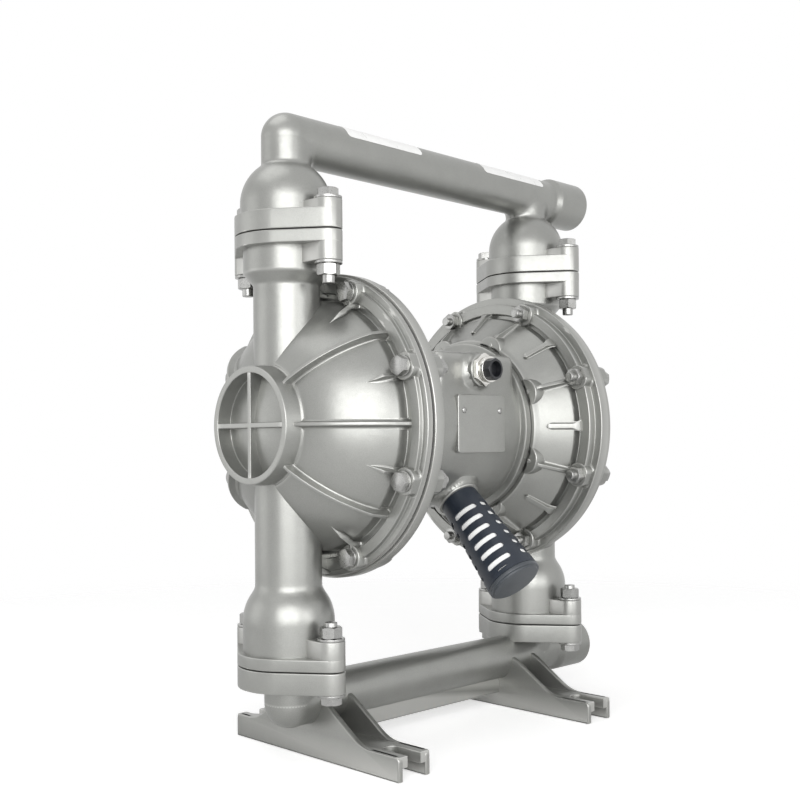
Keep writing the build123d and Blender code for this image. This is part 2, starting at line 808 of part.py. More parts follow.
with BuildPart() as spool:
    with BuildSketch(Plane.XZ.offset(-spool_y)):
        with BuildLine():
            Polyline(
                (-spool_reach, shaft_z),
                (-spool_reach, shaft_z + spool_r),
                (-26.0, shaft_z + spool_r),
                (-26.0, shaft_z + 7.0),
                (-12.0, shaft_z + 7.0),
                (-12.0, shaft_z + spool_r),
                (12.0, shaft_z + spool_r),
                (12.0, shaft_z + 7.0),
                (26.0, shaft_z + 7.0),
                (26.0, shaft_z + spool_r),
                (spool_reach, shaft_z + spool_r),
                (spool_reach, shaft_z),
                close=True,
            )
        make_face()
    revolve(axis=Axis((0, spool_y, shaft_z), (1, 0, 0)))
write(spool.part, "valve_spool")

with BuildPart() as valve_caps:
    for end in (-1.0, 1.0):
        with BuildSketch(Plane.YZ.offset(end * valve_w / 2)):
            with Locations((spool_y, shaft_z)):
                Circle(end_cap_r)
        extrude(amount=end * 6.0)
        with BuildSketch(Plane.YZ.offset(end * valve_w / 2)):
            with Locations((spool_y, shaft_z)):
                Circle(end_cap_r - 3.05)
        extrude(amount=-end * 7.5)
write(valve_caps.part, "valve_end_caps")

with BuildPart() as valve_screws:
    with BuildSketch(Plane.XZ.offset(-(valve_front_y + valve_t))):
        with Locations(*screw_spots):
            Circle(5.0)
            RegularPolygon(2.5, 6, major_radius=False, mode=Mode.SUBTRACT)
    extrude(amount=-6.0)
    with BuildSketch(Plane.XZ.offset(-(valve_front_y + valve_t))):
        with Locations(*screw_spots):
            Circle(5.0)
    extrude(amount=-2.5)
    with BuildSketch(Plane.XZ.offset(-(valve_front_y + valve_t))):
        with Locations(*screw_spots):
            Circle(3.0)
    extrude(amount=valve_t + valve_gasket_t)
write(valve_screws.part, "valve_screws")


# Shaft with its bushes and seals
with BuildPart() as shaft:
    with BuildSketch(Plane.XZ):
        with BuildLine():
            Polyline(
                (-162.0, shaft_z),
                (-162.0, shaft_z + stud_r - 1.0),
                (-161.0, shaft_z + stud_r),
                (-120.0, shaft_z + stud_r),
                (-120.0, shaft_z + shaft_r),
                (120.0, shaft_z + shaft_r),
                (120.0, shaft_z + stud_r),
                (161.0, shaft_z + stud_r),
                (162.0, shaft_z + stud_r - 1.0),
                (162.0, shaft_z),
                close=True,
            )
        make_face()
    revolve(axis=shaft_line)
write(shaft.part, "main_shaft")


def tube_pieces(spans, z, outer, inner, name):
    """Plain rings along the shaft's direction, one per span of X, in one file."""
    with BuildPart() as rings:
        for start_x, end_x in spans:
            with BuildSketch(Plane.YZ.offset(start_x)):
                with Locations((0, z)):
                    Circle(outer)
                    Circle(inner, mode=Mode.SUBTRACT)
            extrude(amount=end_x - start_x)
    write(rings.part, name)


bush_end = body_end_x - seal_l - 1.5
tube_pieces([(-bush_end, -36.0), (36.0, bush_end)], shaft_z, bush_r, shaft_r + shaft_run_gap, "shaft_bushes")
tube_pieces([(-body_end_x, -bush_end), (bush_end, body_end_x)], shaft_z, seal_r, shaft_r + shaft_run_gap,
            "shaft_seals")
tube_pieces([(-79.9, -77.4), (77.4, 79.9)], pilot_z, 6.5, pilot_r - 0.8, "pilot_clips")

with BuildPart() as pilot:
    with BuildSketch(Plane.XZ):
        with BuildLine():
            Polyline(
                (-pilot_reach, pilot_z),
                (-pilot_reach, pilot_z + pilot_r),
                (-80.0, pilot_z + pilot_r),
                (-80.0, pilot_z + pilot_r - 0.8),
                (-77.3, pilot_z + pilot_r - 0.8),
                (-77.3, pilot_z + pilot_r),
                (77.3, pilot_z + pilot_r),
                (77.3, pilot_z + pilot_r - 0.8),
                (80.0, pilot_z + pilot_r - 0.8),
                (80.0, pilot_z + pilot_r),
                (pilot_reach, pilot_z + pilot_r),
                (pilot_reach, pilot_z),
                close=True,
            )
        make_face()
    revolve(axis=Axis((0, 0, pilot_z), (1, 0, 0)))
write(pilot.part, "pilot_rod")


def turned(points, name):
    """A piece turned about the shaft line from X and radius pairs."""
    with BuildPart() as piece:
        with BuildSketch(Plane.XZ):
            with BuildLine():
                Polyline(*[(x, shaft_z + r) for x, r in points], close=True)
            make_face()
        revolve(axis=shaft_line)
    write(piece.part, name)


def diaphragm(side):
    """Rubber diaphragm: clamped rim, one convolution and a flat middle."""
    front = cap_face_x
    back = air_face_x
    with BuildPart() as sheet:
        with BuildSketch(Plane.XZ):
            with BuildLine():
                middle = Polyline(
                    (side * back, shaft_z + stud_r),
                    (side * (back + diaphragm_t), shaft_z + stud_r),
                    (side * (back + diaphragm_t), shaft_z + 82.0),
                )
                fold = ThreePointArc(
                    middle @ 1,
                    (side * (back + diaphragm_t + 7.0), shaft_z + 101.0),
                    (side * front, shaft_z + 120.0),
                )
                rim = Polyline(
                    fold @ 1,
                    (side * front, shaft_z + clamp_r - 1.0),
                    (side * back, shaft_z + clamp_r - 1.0),
                    (side * back, shaft_z + 120.0),
                )
                hollow = ThreePointArc(
                    rim @ 1,
                    (side * (back + 7.0), shaft_z + 101.0),
                    (side * back, shaft_z + 82.0),
                )
                Line(hollow @ 1, middle @ 0)
            make_face()
        revolve(axis=shaft_line)
        with BuildSketch(Plane.YZ.offset(side * back)):
            with Locations((0, shaft_z)):
                with PolarLocations(clamp_bolt_r, clamp_count, start_angle=clamp_first_deg):
                    Circle(clamp_hole_r)
        extrude(amount=side * rim_t, mode=Mode.SUBTRACT)
    return sheet.part


def axial_hex(spots, x, flat, length, name, bore=0.0, shank_r=0.0, shank_l=0.0):
    """Hexagons along X at the given YZ spots, as nuts, or as bolts with a shank.

    length runs the way the head stands out, shank_l the other way.
    """
    with BuildPart() as group:
        with BuildSketch(Plane.YZ.offset(x)):
            with Locations(*spots):
                RegularPolygon(flat / 2, 6, major_radius=False, rotation=30)
                if bore:
                    Circle(bore, mode=Mode.SUBTRACT)
        extrude(amount=length)
        if shank_r:
            with BuildSketch(Plane.YZ.offset(x)):
                with Locations(*spots):
                    Circle(shank_r)
            extrude(amount=-shank_l)
    write(group.part, name)


def upright_hex(spots, z, flat, length, name, bore=0.0, shank_r=0.0, shank_l=0.0):
    """Hexagons along Z at the given XY spots, as nuts, or as bolts with a shank."""
    with BuildPart() as group:
        for base_z, tall in zip(z, length):
            with BuildSketch(Plane.XY.offset(base_z)):
                with Locations(*spots):
                    RegularPolygon(flat / 2, 6, major_radius=False)
                    if bore:
                        Circle(bore, mode=Mode.SUBTRACT)
            extrude(amount=tall)
            if shank_r:
                with BuildSketch(Plane.XY.offset(base_z)):
                    with Locations(*spots):
                        Circle(shank_r)
                extrude(amount=-shank_l)
    write(group.part, name)


clamp_spots = [
    (clamp_bolt_r * math.cos(math.radians(a)), shaft_z + clamp_bolt_r * math.sin(math.radians(a)))
    for a in bolt_angles()
]
hub_spots = [
    (hub_screw_at * math.cos(math.radians(a)), shaft_z + hub_screw_at * math.sin(math.radians(a)))
    for a in bolt_angles()
]
flange_spots = bolt_points(-column_x) + bolt_points(column_x)
clamp_washer_t = 2.0
clamp_head_t = 6.4
clamp_nut_t = 8.4
clamp_flat = 17.0
clamp_shank_r = 5.0
clamp_tip_x = 99.5
flange_washer_t = 2.5
flange_head_t = 7.5
flange_nut_t = 10.8
flange_flat = 19.0
flange_shank_r = 6.0
top_bolt_tip = 7.5
low_bolt_tip = 4.0

for side, label in ((-1, "left"), (1, "right")):
    write(diaphragm(side), "diaphragm_" + label)
    turned([(side * inner_plate_x, shaft_r), (side * inner_plate_x, 42.0), (side * 119.0, 50.0),
            (side * 129.0, plate_r - 6.0), (side * 134.0, plate_r), (side * air_face_x, plate_r),
            (side * air_face_x, stud_r), (side * 120.0, stud_r), (side * 120.0, shaft_r)],
           "inner_plate_" + label)
    turned([(side * (air_face_x + diaphragm_t), stud_r), (side * (air_face_x + diaphragm_t), plate_r - 2.0),
            (side * 144.0, plate_r), (side * 148.0, plate_r - 4.0), (side * outer_plate_x, 34.0),
            (side * outer_plate_x, stud_r)],
           "outer_plate_" + label)
    head_x = cap_rim_x + clamp_washer_t
    axial_hex(clamp_spots, side * head_x, clamp_flat, side * clamp_head_t, "clamp_bolts_" + label,
              shank_r=clamp_shank_r, shank_l=side * (head_x - clamp_tip_x))
    axial_hex(clamp_spots, side * air_boss_x, clamp_flat, -side * clamp_nut_t, "clamp_nuts_" + label,
              bore=clamp_shank_r)
    with BuildPart() as washers:
        with BuildSketch(Plane.YZ.offset(side * cap_rim_x)):
            with Locations(*clamp_spots):
                Circle(10.0)
                Circle(clamp_shank_r + 0.2, mode=Mode.SUBTRACT)
        extrude(amount=side * clamp_washer_t)
    write(washers.part, "clamp_washers_" + label)
    with BuildPart() as hub_screws:
        with BuildSketch(Plane.YZ.offset(side * 86.0)):
            with Locations(*hub_spots):
                Circle(6.5)
                RegularPolygon(3.0, 6, major_radius=False, mode=Mode.SUBTRACT)
        extrude(amount=side * 8.0)
        with BuildSketch(Plane.YZ.offset(side * 86.0)):
            with Locations(*hub_spots):
                Circle(6.5)
        extrude(amount=side * 3.5)
        with BuildSketch(Plane.YZ.offset(side * 86.0)):
            with Locations(*hub_spots):
                Circle(hub_screw_r)
        extrude(amount=-side * 28.0)
    write(hub_screws.part, "hub_screws_" + label)

with BuildPart() as plate_nuts:
    for side in (-1, 1):
        with BuildSketch(Plane.YZ.offset(side * outer_plate_x)):
            with Locations((0, shaft_z)):
                RegularPolygon(12.0, 6, major_radius=False)
                Circle(stud_r, mode=Mode.SUBTRACT)
        extrude(amount=side * 9.0)
write(plate_nuts.part, "plate_nuts")

# Bolts, washers and nuts of the four flanged joints
top_head_z = seam_top_z + boss_above + flange_washer_t
top_nut_z = seam_top_z - boss_below - flange_washer_t
low_head_z = seam_low_z - inlet_flange_t - flange_washer_t
low_nut_z = seam_low_z + boss_above + flange_washer_t
top_tip_z = top_nut_z - flange_nut_t - top_bolt_tip
low_tip_z = low_nut_z + flange_nut_t + low_bolt_tip
upright_hex(flange_spots, [top_head_z], flange_flat, [flange_head_t], "flange_bolts_top",
            shank_r=flange_shank_r, shank_l=top_head_z - top_tip_z)
upright_hex(flange_spots, [low_head_z], flange_flat, [-flange_head_t], "flange_bolts_low",
            shank_r=flange_shank_r, shank_l=low_head_z - low_tip_z)
upright_hex(flange_spots, [top_nut_z, low_nut_z], flange_flat, [-flange_nut_t, flange_nut_t],
            "flange_nuts", bore=flange_shank_r)
with BuildPart() as flange_washers:
    for base_z in (top_head_z - flange_washer_t, top_nut_z, low_head_z, low_nut_z - flange_washer_t):
        with BuildSketch(Plane.XY.offset(base_z)):
            with Locations(*flange_spots):
                Circle(12.0)
                Circle(flange_shank_r + 0.3, mode=Mode.SUBTRACT)
        extrude(amount=flange_washer_t)
write(flange_washers.part, "flange_washers")


# Seat rings with a conical lead-in, their O-rings, and the four balls
seat_low = -(seat_depth + joint_gap / 2)
with BuildPart() as seats:
    for x in (-column_x, column_x):
        for seam in (seam_low_z, seam_top_z):
            with BuildSketch(Plane(origin=(x, 0, seam), x_dir=(1, 0, 0), z_dir=(0, -1, 0))):
                with BuildLine():
                    Polyline(
                        (seat_bore_r, seat_low),
                        (seat_r, seat_low),
                        (seat_r, joint_gap / 2 - 3.6),
                        (seat_r - 3.5, joint_gap / 2 - 3.6),
                        (seat_r - 3.5, joint_gap / 2),
                        (seat_bore_r + seat_chamfer, joint_gap / 2),
                        (seat_bore_r, joint_gap / 2 - seat_chamfer),
                        close=True,
                    )
                make_face()
            revolve(axis=Axis((x, 0, 0), (0, 0, 1)))
write(seats.part, "valve_seats")

with BuildPart() as rings:
    for x in (-column_x, column_x):
        for seam in (seam_low_z, seam_top_z):
            with Locations((x, 0, seam + joint_gap / 2 - ring_section_r)):
                Torus(seat_r - ring_section_r, ring_section_r)
write(rings.part, "seat_rings")

for x, label in ((-column_x, "left"), (column_x, "right")):
    for z, place in ((ball_low_z, "inlet"), (ball_top_z, "outlet")):
        with BuildPart() as ball:
            with Locations((x, 0, z)):
                Sphere(ball_r)
        write(ball.part, place + "_ball_" + label)


# Air inlet fitting and its release collar
with BuildPart() as fitting:
    with BuildSketch(across(inlet_boss_y, inlet_x, inlet_z)):
        RegularPolygon(15.0, 6, major_radius=False)
    extrude(amount=5.5)
    with BuildSketch(across(inlet_boss_y + 5.5, inlet_x, inlet_z)):
        Circle(13.6)
    extrude(amount=6.0)
    with BuildSketch(across(inlet_boss_y, inlet_x, inlet_z)):
        Circle(inlet_thread_r)
    extrude(amount=-13.0)
    with BuildSketch(across(inlet_boss_y + 11.5, inlet_x, inlet_z)):
        Circle(8.1)
    extrude(amount=-24.5, mode=Mode.SUBTRACT)
write(fitting.part, "inlet_fitting")

with BuildPart() as collar:
    with BuildSketch(across(inlet_boss_y + 11.5, inlet_x, inlet_z)):
        RegularPolygon(11.4, 8, major_radius=True)
        Circle(8.1, mode=Mode.SUBTRACT)
    extrude(amount=7.0)
write(collar.part, "inlet_collar")


# Silencer: slotted tapered shell with its threaded neck, a porous core, an end cap
with BuildPart() as shell:
    with BuildSketch(Plane.YZ):
        with BuildLine():
            Polyline(
                (0.0, 0.0),
                (silencer_root_r, 0.0),
                (silencer_end_r, silencer_l - silencer_cap_t),
                (0.0, silencer_l - silencer_cap_t),
                close=True,
            )
        make_face()
    revolve(axis=Axis.Z)
    with BuildSketch(Plane.YZ):
        with BuildLine():
            Polyline(
                (0.0, silencer_floor),
                (silencer_root_r - silencer_wall, silencer_floor),
                (silencer_end_r - silencer_wall, silencer_l),
                (0.0, silencer_l),
                close=True,
            )
        make_face()
    revolve(axis=Axis.Z, mode=Mode.SUBTRACT)
    with BuildSketch(Plane.XY):
        Circle(silencer_neck_r - 0.05)
    extrude(amount=-16.0)
    with BuildSketch(Plane.XY.offset(-17.0)):
        Circle(10.0)
    extrude(amount=22.0, mode=Mode.SUBTRACT)
    for step in range(6):
        with BuildSketch(Plane.XY.offset(20.5 + 13.3 * step)):
            with PolarLocations(24.0, 4, start_angle=145.0):
                Rectangle(20.0, 30.0)
        extrude(amount=4.4, mode=Mode.SUBTRACT)
shell_part = silencer_plane(0.0).location * shell.part
write(shell_part, "silencer_shell")

core_end = silencer_l - silencer_cap_t
core_root_r = silencer_root_r - silencer_wall - core_gap
core_end_r = core_root_r + silencer_taper * (core_end - core_start)
with BuildPart() as core:
    with BuildSketch(Plane.YZ):
        with BuildLine():
            Polyline(
                (core_bore_r, core_start),
                (core_root_r, core_start),
                (core_end_r, core_end),
                (core_bore_r, core_end),
                close=True,
            )
        make_face()
    revolve(axis=Axis.Z)
core_part = silencer_plane(0.0).location * core.part
write(core_part, "silencer_core")

with BuildPart() as silencer_cap:
    with BuildSketch(silencer_plane(silencer_l - silencer_cap_t)):
        Circle(silencer_end_r)
    extrude(amount=silencer_cap_t - 2.0)
    with BuildSketch(silencer_plane(silencer_l - 2.0)):
        Circle(silencer_end_r - 3.0)
    extrude(amount=2.0)
write(silencer_cap.part, "silencer_cap")


# Nameplate pins and the two bare labels on the outlet tube
with BuildPart() as pins:
    for x in (-28.0, 28.0):
        with BuildSketch(across(pad_y, x, shaft_z + 15.8)):
            Circle(1.6)
        extrude(amount=-5.5)
        with BuildSketch(across(pad_y, x, shaft_z + 15.8)):
            Circle(2.6)
        extrude(amount=1.0)
write(pins.part, "plate_pins")

label_t = 0.35
label_gap = 0.05
for label, start_x, end_x in (("label_left", -122.0, -16.0), ("label_right", 86.0, 193.0)):
    with BuildPart() as sticker:
        with BuildSketch(Plane.YZ.offset(start_x)):
            with BuildLine():
                edge = CenterArc((0, tube_top_z), tube_r + label_t, 60.0, 78.0)
                under = CenterArc((0, tube_top_z), tube_r + label_gap, 60.0, 78.0)
                Line(edge @ 0, under @ 0)
                Line(edge @ 1, under @ 1)
            make_face()
        extrude(amount=end_x - start_x)
    write(sticker.part, label)
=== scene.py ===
import json
import math

import bmesh
import bpy
import numpy as np
from mathutils import Matrix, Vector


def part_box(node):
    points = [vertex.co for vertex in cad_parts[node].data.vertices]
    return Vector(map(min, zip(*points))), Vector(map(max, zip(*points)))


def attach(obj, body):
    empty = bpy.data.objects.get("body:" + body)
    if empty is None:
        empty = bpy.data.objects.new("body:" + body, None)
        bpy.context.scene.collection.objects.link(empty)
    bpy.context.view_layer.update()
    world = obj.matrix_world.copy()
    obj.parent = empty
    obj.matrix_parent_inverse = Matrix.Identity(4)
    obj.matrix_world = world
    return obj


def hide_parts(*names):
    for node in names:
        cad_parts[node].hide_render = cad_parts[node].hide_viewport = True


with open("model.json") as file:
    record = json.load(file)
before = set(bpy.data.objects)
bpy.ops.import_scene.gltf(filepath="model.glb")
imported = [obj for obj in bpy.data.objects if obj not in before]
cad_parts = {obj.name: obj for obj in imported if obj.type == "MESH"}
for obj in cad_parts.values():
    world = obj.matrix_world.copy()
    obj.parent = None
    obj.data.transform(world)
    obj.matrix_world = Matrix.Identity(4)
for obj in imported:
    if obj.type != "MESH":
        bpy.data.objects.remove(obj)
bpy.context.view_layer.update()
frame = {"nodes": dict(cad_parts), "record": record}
nodes = frame["nodes"]

# Frame: metres, X along the diaphragm shaft towards the open ports, -Y towards
# the air inlet and the silencer, Z up from the floor.

# Camera, solved from points measured on the photograph
camera_spot = (-0.8551, -0.8346, 0.3040)
camera_turn_deg = 44.93
camera_tilt_deg = 0.03
camera_roll_deg = -0.40
focal_px = 1092.9
centre_px = (408.7, 446.0)
photo_px = 800.0
sensor_mm = 36.0


def stand(name, data, spot, right, up, back):
    """A camera or lamp at a spot, turned so that it looks against its third axis."""
    thing = bpy.data.objects.new(name, data)
    bpy.context.scene.collection.objects.link(thing)
    rows = np.stack([right, up, back, spot], 1).tolist()
    thing.matrix_world = Matrix([*rows, (0.0, 0.0, 0.0, 1.0)])
    return thing


def photo_camera():
    """Camera at the photograph's angle: it looks along a turn and a tilt, with a small shift."""
    turn = math.radians(camera_turn_deg)
    tilt = math.radians(camera_tilt_deg)
    forward = np.array([math.cos(turn) * math.cos(tilt), math.sin(turn) * math.cos(tilt), math.sin(tilt)])
    right = np.array([math.sin(turn), -math.cos(turn), 0.0])
    up = np.cross(right, forward)
    roll = math.radians(camera_roll_deg)
    right, up = (math.cos(roll) * right + math.sin(roll) * up,
                 math.cos(roll) * up - math.sin(roll) * right)
    data = bpy.data.cameras.new("photo_camera")
    data.sensor_width = sensor_mm
    data.lens = focal_px * sensor_mm / photo_px
    data.shift_x = -(centre_px[0] - photo_px / 2) / photo_px
    data.shift_y = (centre_px[1] - photo_px / 2) / photo_px
    data.clip_end = 20.0
    bpy.context.scene.camera = stand("photo_camera", data, camera_spot, right, up, -forward)


# Node helpers


def add_node(tree, kind, values=(), links=(), **settings):
    """A shader node with its settings, the values of its inputs and what is linked into them."""
    node = tree.nodes.new("ShaderNode" + kind)
    for key, value in settings.items():
        setattr(node, key, value)
    for key, value in dict(values).items():
        node.inputs[key].default_value = value
    for key, output in dict(links).items():
        tree.links.new(output, node.inputs[key])
    return node


def new_material(name):
    """An empty node material with its Principled shader, its output and its object coordinates."""
    material = bpy.data.materials.new(name)
    material.use_nodes = True
    tree = material.node_tree
    tree.nodes.clear()
    shader = add_node(tree, "BsdfPrincipled")
    add_node(tree, "OutputMaterial", links={"Surface": shader.outputs["BSDF"]})
    return material, tree, shader, add_node(tree, "TexCoord").outputs["Object"]


def noise(tree, coords, scale, detail=2.0, rough=0.5):
    """Noise on object coordinates, scale in cells per metre."""
    values = {"Scale": scale, "Detail": detail, "Roughness": rough}
    return add_node(tree, "TexNoise", values, {"Vector": coords}).outputs["Fac"]


def spread(tree, value, low, high, out_low, out_high):
    """Straight-line map of a value from one range to another, held at its ends."""
    ends = {"From Min": low, "From Max": high, "To Min": out_low, "To Max": out_high}
    return add_node(tree, "MapRange", ends, {"Value": value}).outputs["Result"]


def blend_colours(tree, value, first, second):
    """Colour that goes from the first to the second as the value goes from 0 to 1."""
    node = add_node(tree, "Mix", links={"Factor": value}, data_type="RGBA")
    for socket, colour in (("A", first), ("B", second)):
        end = [s for s in node.inputs if s.name == socket and s.type == "RGBA"][0]
        if isinstance(colour, tuple):
            end.default_value = (*colour, 1.0)
        else:
            tree.links.new(colour, end)
    return [s for s in node.outputs if s.type == "RGBA"][0]


def bumps(tree, shader, *layers):
    """Bump from (height, distance in metres, strength) layers, one laid on the other."""
    below = None
    for height, distance, strength in layers:
        links = {"Height": height, "Normal": below} if below else {"Height": height}
        below = add_node(tree, "Bump", {"Distance": distance, "Strength": strength}, links).outputs["Normal"]
    tree.links.new(below, shader.inputs["Normal"])


def painted_edge_highlight(tree, low, high):
    """Mask of the painted highlight on edges: 0 on flat and hollow surfaces, 1 on sharp outer edges, from
    the surface's own curvature.
    """
    return spread(tree, add_node(tree, "NewGeometry").outputs["Pointiness"], low, high, 0.0, 1.0)


def cast_aluminium():
    """Bead-blasted casting: satin metal, a fine grain, faint flow clouds and edges made slightly brighter by
    a painted highlight.
    """
    material, tree, shader, coords = new_material("cast_aluminium")
    clouds = noise(tree, coords, 24.0, 3.0, 0.6)
    grain = noise(tree, coords, 1500.0, 2.0, 0.7)
    skin = noise(tree, coords, 260.0, 3.0, 0.55)
    cloudy = spread(tree, clouds, 0.3, 0.7, 0.0, 1.0)
    tone = blend_colours(tree, cloudy, (0.265, 0.268, 0.255), (0.305, 0.308, 0.293))
    tone = blend_colours(tree, spread(tree, grain, 0.35, 0.65, 0.0, 0.35), tone, (0.40, 0.40, 0.385))
    # painted highlight: the base colour turns lighter on sharp outer edges
    tone = blend_colours(tree, painted_edge_highlight(tree, 0.51, 0.58), tone, (0.52, 0.52, 0.50))
    tree.links.new(tone, shader.inputs["Base Color"])
    shader.inputs["Metallic"].default_value = 0.8
    tree.links.new(spread(tree, skin, 0.3, 0.7, 0.31, 0.38), shader.inputs["Roughness"])
    bumps(tree, shader, (skin, 0.00025, 0.25), (grain, 0.00008, 0.35))
    return material


def turned_metal(name, dark, light, roughness, scale=900.0, bump=0.00002):
    """Machined or rolled metal: a fine grain and faint clouds over a satin base."""
    material, tree, shader, coords = new_material(name)
    clouds = noise(tree, coords, 90.0, 2.0, 0.6)
    grain = noise(tree, coords, scale, 2.0, 0.6)
    tone = blend_colours(tree, spread(tree, clouds, 0.3, 0.7, 0.0, 1.0), dark, light)
    tree.links.new(tone, shader.inputs["Base Color"])
    shader.inputs["Metallic"].default_value = 1.0
    satin = spread(tree, grain, 0.3, 0.7, roughness - 0.05, roughness + 0.05)
    tree.links.new(satin, shader.inputs["Roughness"])
    bumps(tree, shader, (grain, bump, 0.3))
    return material


def moulded(name, dark, light, roughness, scale=1400.0, bump=0.00004, level=0.5):
    """Moulded plastic or rubber: an even colour with a faint cloud and a fine moulded grain."""
    material, tree, shader, coords = new_material(name)
    clouds = noise(tree, coords, 60.0, 3.0, 0.6)
    grain = noise(tree, coords, scale, 2.0, 0.6)
    tone = blend_colours(tree, spread(tree, clouds, 0.3, 0.7, 0.0, 1.0), dark, light)
    tree.links.new(tone, shader.inputs["Base Color"])
    shader.inputs["Specular IOR Level"].default_value = level
    satin = spread(tree, clouds, 0.3, 0.7, roughness - 0.04, roughness + 0.04)
    tree.links.new(satin, shader.inputs["Roughness"])
    bumps(tree, shader, (grain, bump, 0.35))
    return material


finishes = {
    "cast_aluminium": cast_aluminium(),
    "stainless": turned_metal("stainless_fasteners", (0.34, 0.34, 0.33), (0.42, 0.42, 0.41), 0.30),
    "steel": turned_metal("ground_steel", (0.48, 0.49, 0.50), (0.56, 0.57, 0.58), 0.28),
    "plate_steel": turned_metal("turned_plate", (0.52, 0.53, 0.54), (0.62, 0.63, 0.64), 0.30),
    "diaphragm_rubber": moulded("diaphragm_rubber", (0.018, 0.018, 0.02), (0.03, 0.03, 0.032), 0.6),
    "ball_rubber": moulded("ball_rubber", (0.04, 0.034, 0.03), (0.06, 0.05, 0.045), 0.55),
    "seat_plastic": moulded("seat_plastic", (0.72, 0.72, 0.66), (0.78, 0.78, 0.73), 0.45),
    "seal_rubber": moulded("seal_rubber", (0.012, 0.012, 0.012), (0.02, 0.02, 0.02), 0.5),
    "bush_bronze": turned_metal("sintered_bronze", (0.42, 0.27, 0.13), (0.50, 0.33, 0.17), 0.4),
    "nickel_brass": turned_metal("nickel_plate", (0.66, 0.65, 0.62), (0.74, 0.73, 0.70), 0.16, 500.0,
                                 0.00001),
    "black_plastic": moulded("black_collar", (0.008, 0.009, 0.011), (0.014, 0.015, 0.018), 0.32),
    "silencer_plastic": moulded("silencer_plastic", (0.012, 0.017, 0.027), (0.020, 0.027, 0.040), 0.38),
    "silencer_core": moulded("porous_core", (0.93, 0.93, 0.92), (0.96, 0.96, 0.95), 0.8, 1100.0, 0.0003),
    "cap_plastic": moulded("silencer_cap", (0.045, 0.052, 0.060), (0.060, 0.068, 0.078), 0.36),
    "valve_aluminium": turned_metal("machined_valve", (0.44, 0.45, 0.44), (0.52, 0.53, 0.52), 0.36),
    "gasket": moulded("sheet_gasket", (0.02, 0.02, 0.02), (0.035, 0.035, 0.035), 0.75),
    "label_white": moulded("label_film", (0.78, 0.78, 0.77), (0.84, 0.84, 0.83), 0.3, 700.0, 0.00001),
}
slot_of = {entry["node"]: entry["material_slot"] for entry in frame["record"]["subparts"]}
for name, node in nodes.items():
    node.data.materials.clear()
    node.data.materials.append(finishes[slot_of[name]])


# Shapes are worked out in millimetres, as in the CAD, and put into the meshes in metres.

mm = 0.001


def corner(name, end):
    """One corner of a CAD node's box in millimetres: end 0 is the lowest, end 1 the highest."""
    return np.array(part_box(name)[end]) / mm


# Main sizes, read from the frame
chamber_low, chamber_high = corner("air_chamber_right", 0), corner("air_chamber_right", 1)
cap_low, cap_high = corner("fluid_cap_right", 0), corner("fluid_cap_right", 1)
outlet_low, outlet_high = corner("outlet_manifold", 0), corner("outlet_manifold", 1)
inlet_low, inlet_high = corner("inlet_manifold", 0), corner("inlet_manifold", 1)
ball_low, ball_high = corner("outlet_ball_right", 0), corner("outlet_ball_right", 1)
shaft_z = (chamber_low[2] + chamber_high[2]) / 2
clamp_r = (chamber_high[2] - chamber_low[2]) / 2
hub_x = chamber_low[0]
air_face_x = chamber_high[0]
cap_face_x = cap_low[0]
end_ring_x = cap_high[0]
column_x = (ball_low[0] + ball_high[0]) / 2
cap_low_z, cap_top_z = cap_low[2], cap_high[2]
flange_reach = outlet_high[1]
port_x = outlet_high[0]
tube_top_z = outlet_high[2] - 28.5
tube_low_z = 56.0

# Sizes that the boxes don't give: the CAD's, and finer ones measured for the looks
column_r = 32.5
collar_r = 42.0
collar_h = 35.0
cap_cone_h = 11.0
dome_r = 44.5
dome_low_z = cap_low_z + 41.0
flange_core_r = 50.0
flange_boss_r = 13.5
flange_boss_h = 28.0
flange_bolt_r = 6.0
washer_t = 2.5
flange_bolt_y = flange_reach - flange_boss_r
clamp_bolt_r = 138.0
clamp_boss_r = 13.0
clamp_bolt_flats = 17.0
clamp_shank_r = 5.0
clamp_bolt_l = 57.5
clamp_washer_t = 2.0
flange_bolt_flats = 19.0
end_ring_r = 56.4
end_lip_x = end_ring_x - 2.6
end_lip_r = 49.8
cap_rim_r = clamp_r - 2.9
cap_edge_x = 143.4
cap_rim_x = 147.6
cap_boss_x = 152.8
seam_low_x = 135.4
seam_high_x = 136.9
rim_out_r = 143.2
rim_in_r = 131.8
air_edge_x = 123.4
air_boss_x = 112.0
air_ridge_x = 113.8
chamber_rim_r = clamp_r - 0.5
bolt_first = math.radians(22.5)
bolt_step = math.radians(45.0)


# Fields: a body is given by a number that is below zero inside it, zero on its
# skin and about the distance in millimetres outside


def soft_min(a, b, k):
    """Two bodies with a fillet: the lesser of two fields, less a parabola where they are within k."""
    h = np.clip(k - np.abs(a - b), 0.0, None)
    return np.minimum(a, b) - h * h / (4 * k)


def soft_max(a, b, k):
    """What two bodies share, with a rounded edge: the greater of two fields, plus a parabola within k."""
    return -soft_min(-a, -b, k)


def arc_height(points, value):
    """Height over value on the circle through three (value, height) points, on the middle one's side."""
    (a, b), (c, d), (e, f) = points
    side = 2 * (a * (d - f) + c * (f - b) + e * (b - d))
    u = ((a * a + b * b) * (d - f) + (c * c + d * d) * (f - b) + (e * e + f * f) * (b - d)) / side
    v = ((a * a + b * b) * (e - c) + (c * c + d * d) * (a - e) + (e * e + f * f) * (c - a)) / side
    radius2 = (a - u) ** 2 + (b - v) ** 2
    sign = 1.0 if d > v else -1.0
    return v + sign * np.sqrt(np.clip(radius2 - (value - u) ** 2, 0.0, None))


def ease(value, low, high):
    """0 below low, 1 above high, and the curve 3t2 - 2t3 between."""
    t = np.clip((value - low) / (high - low), 0.0, 1.0)
    return t * t * (3 - 2 * t)


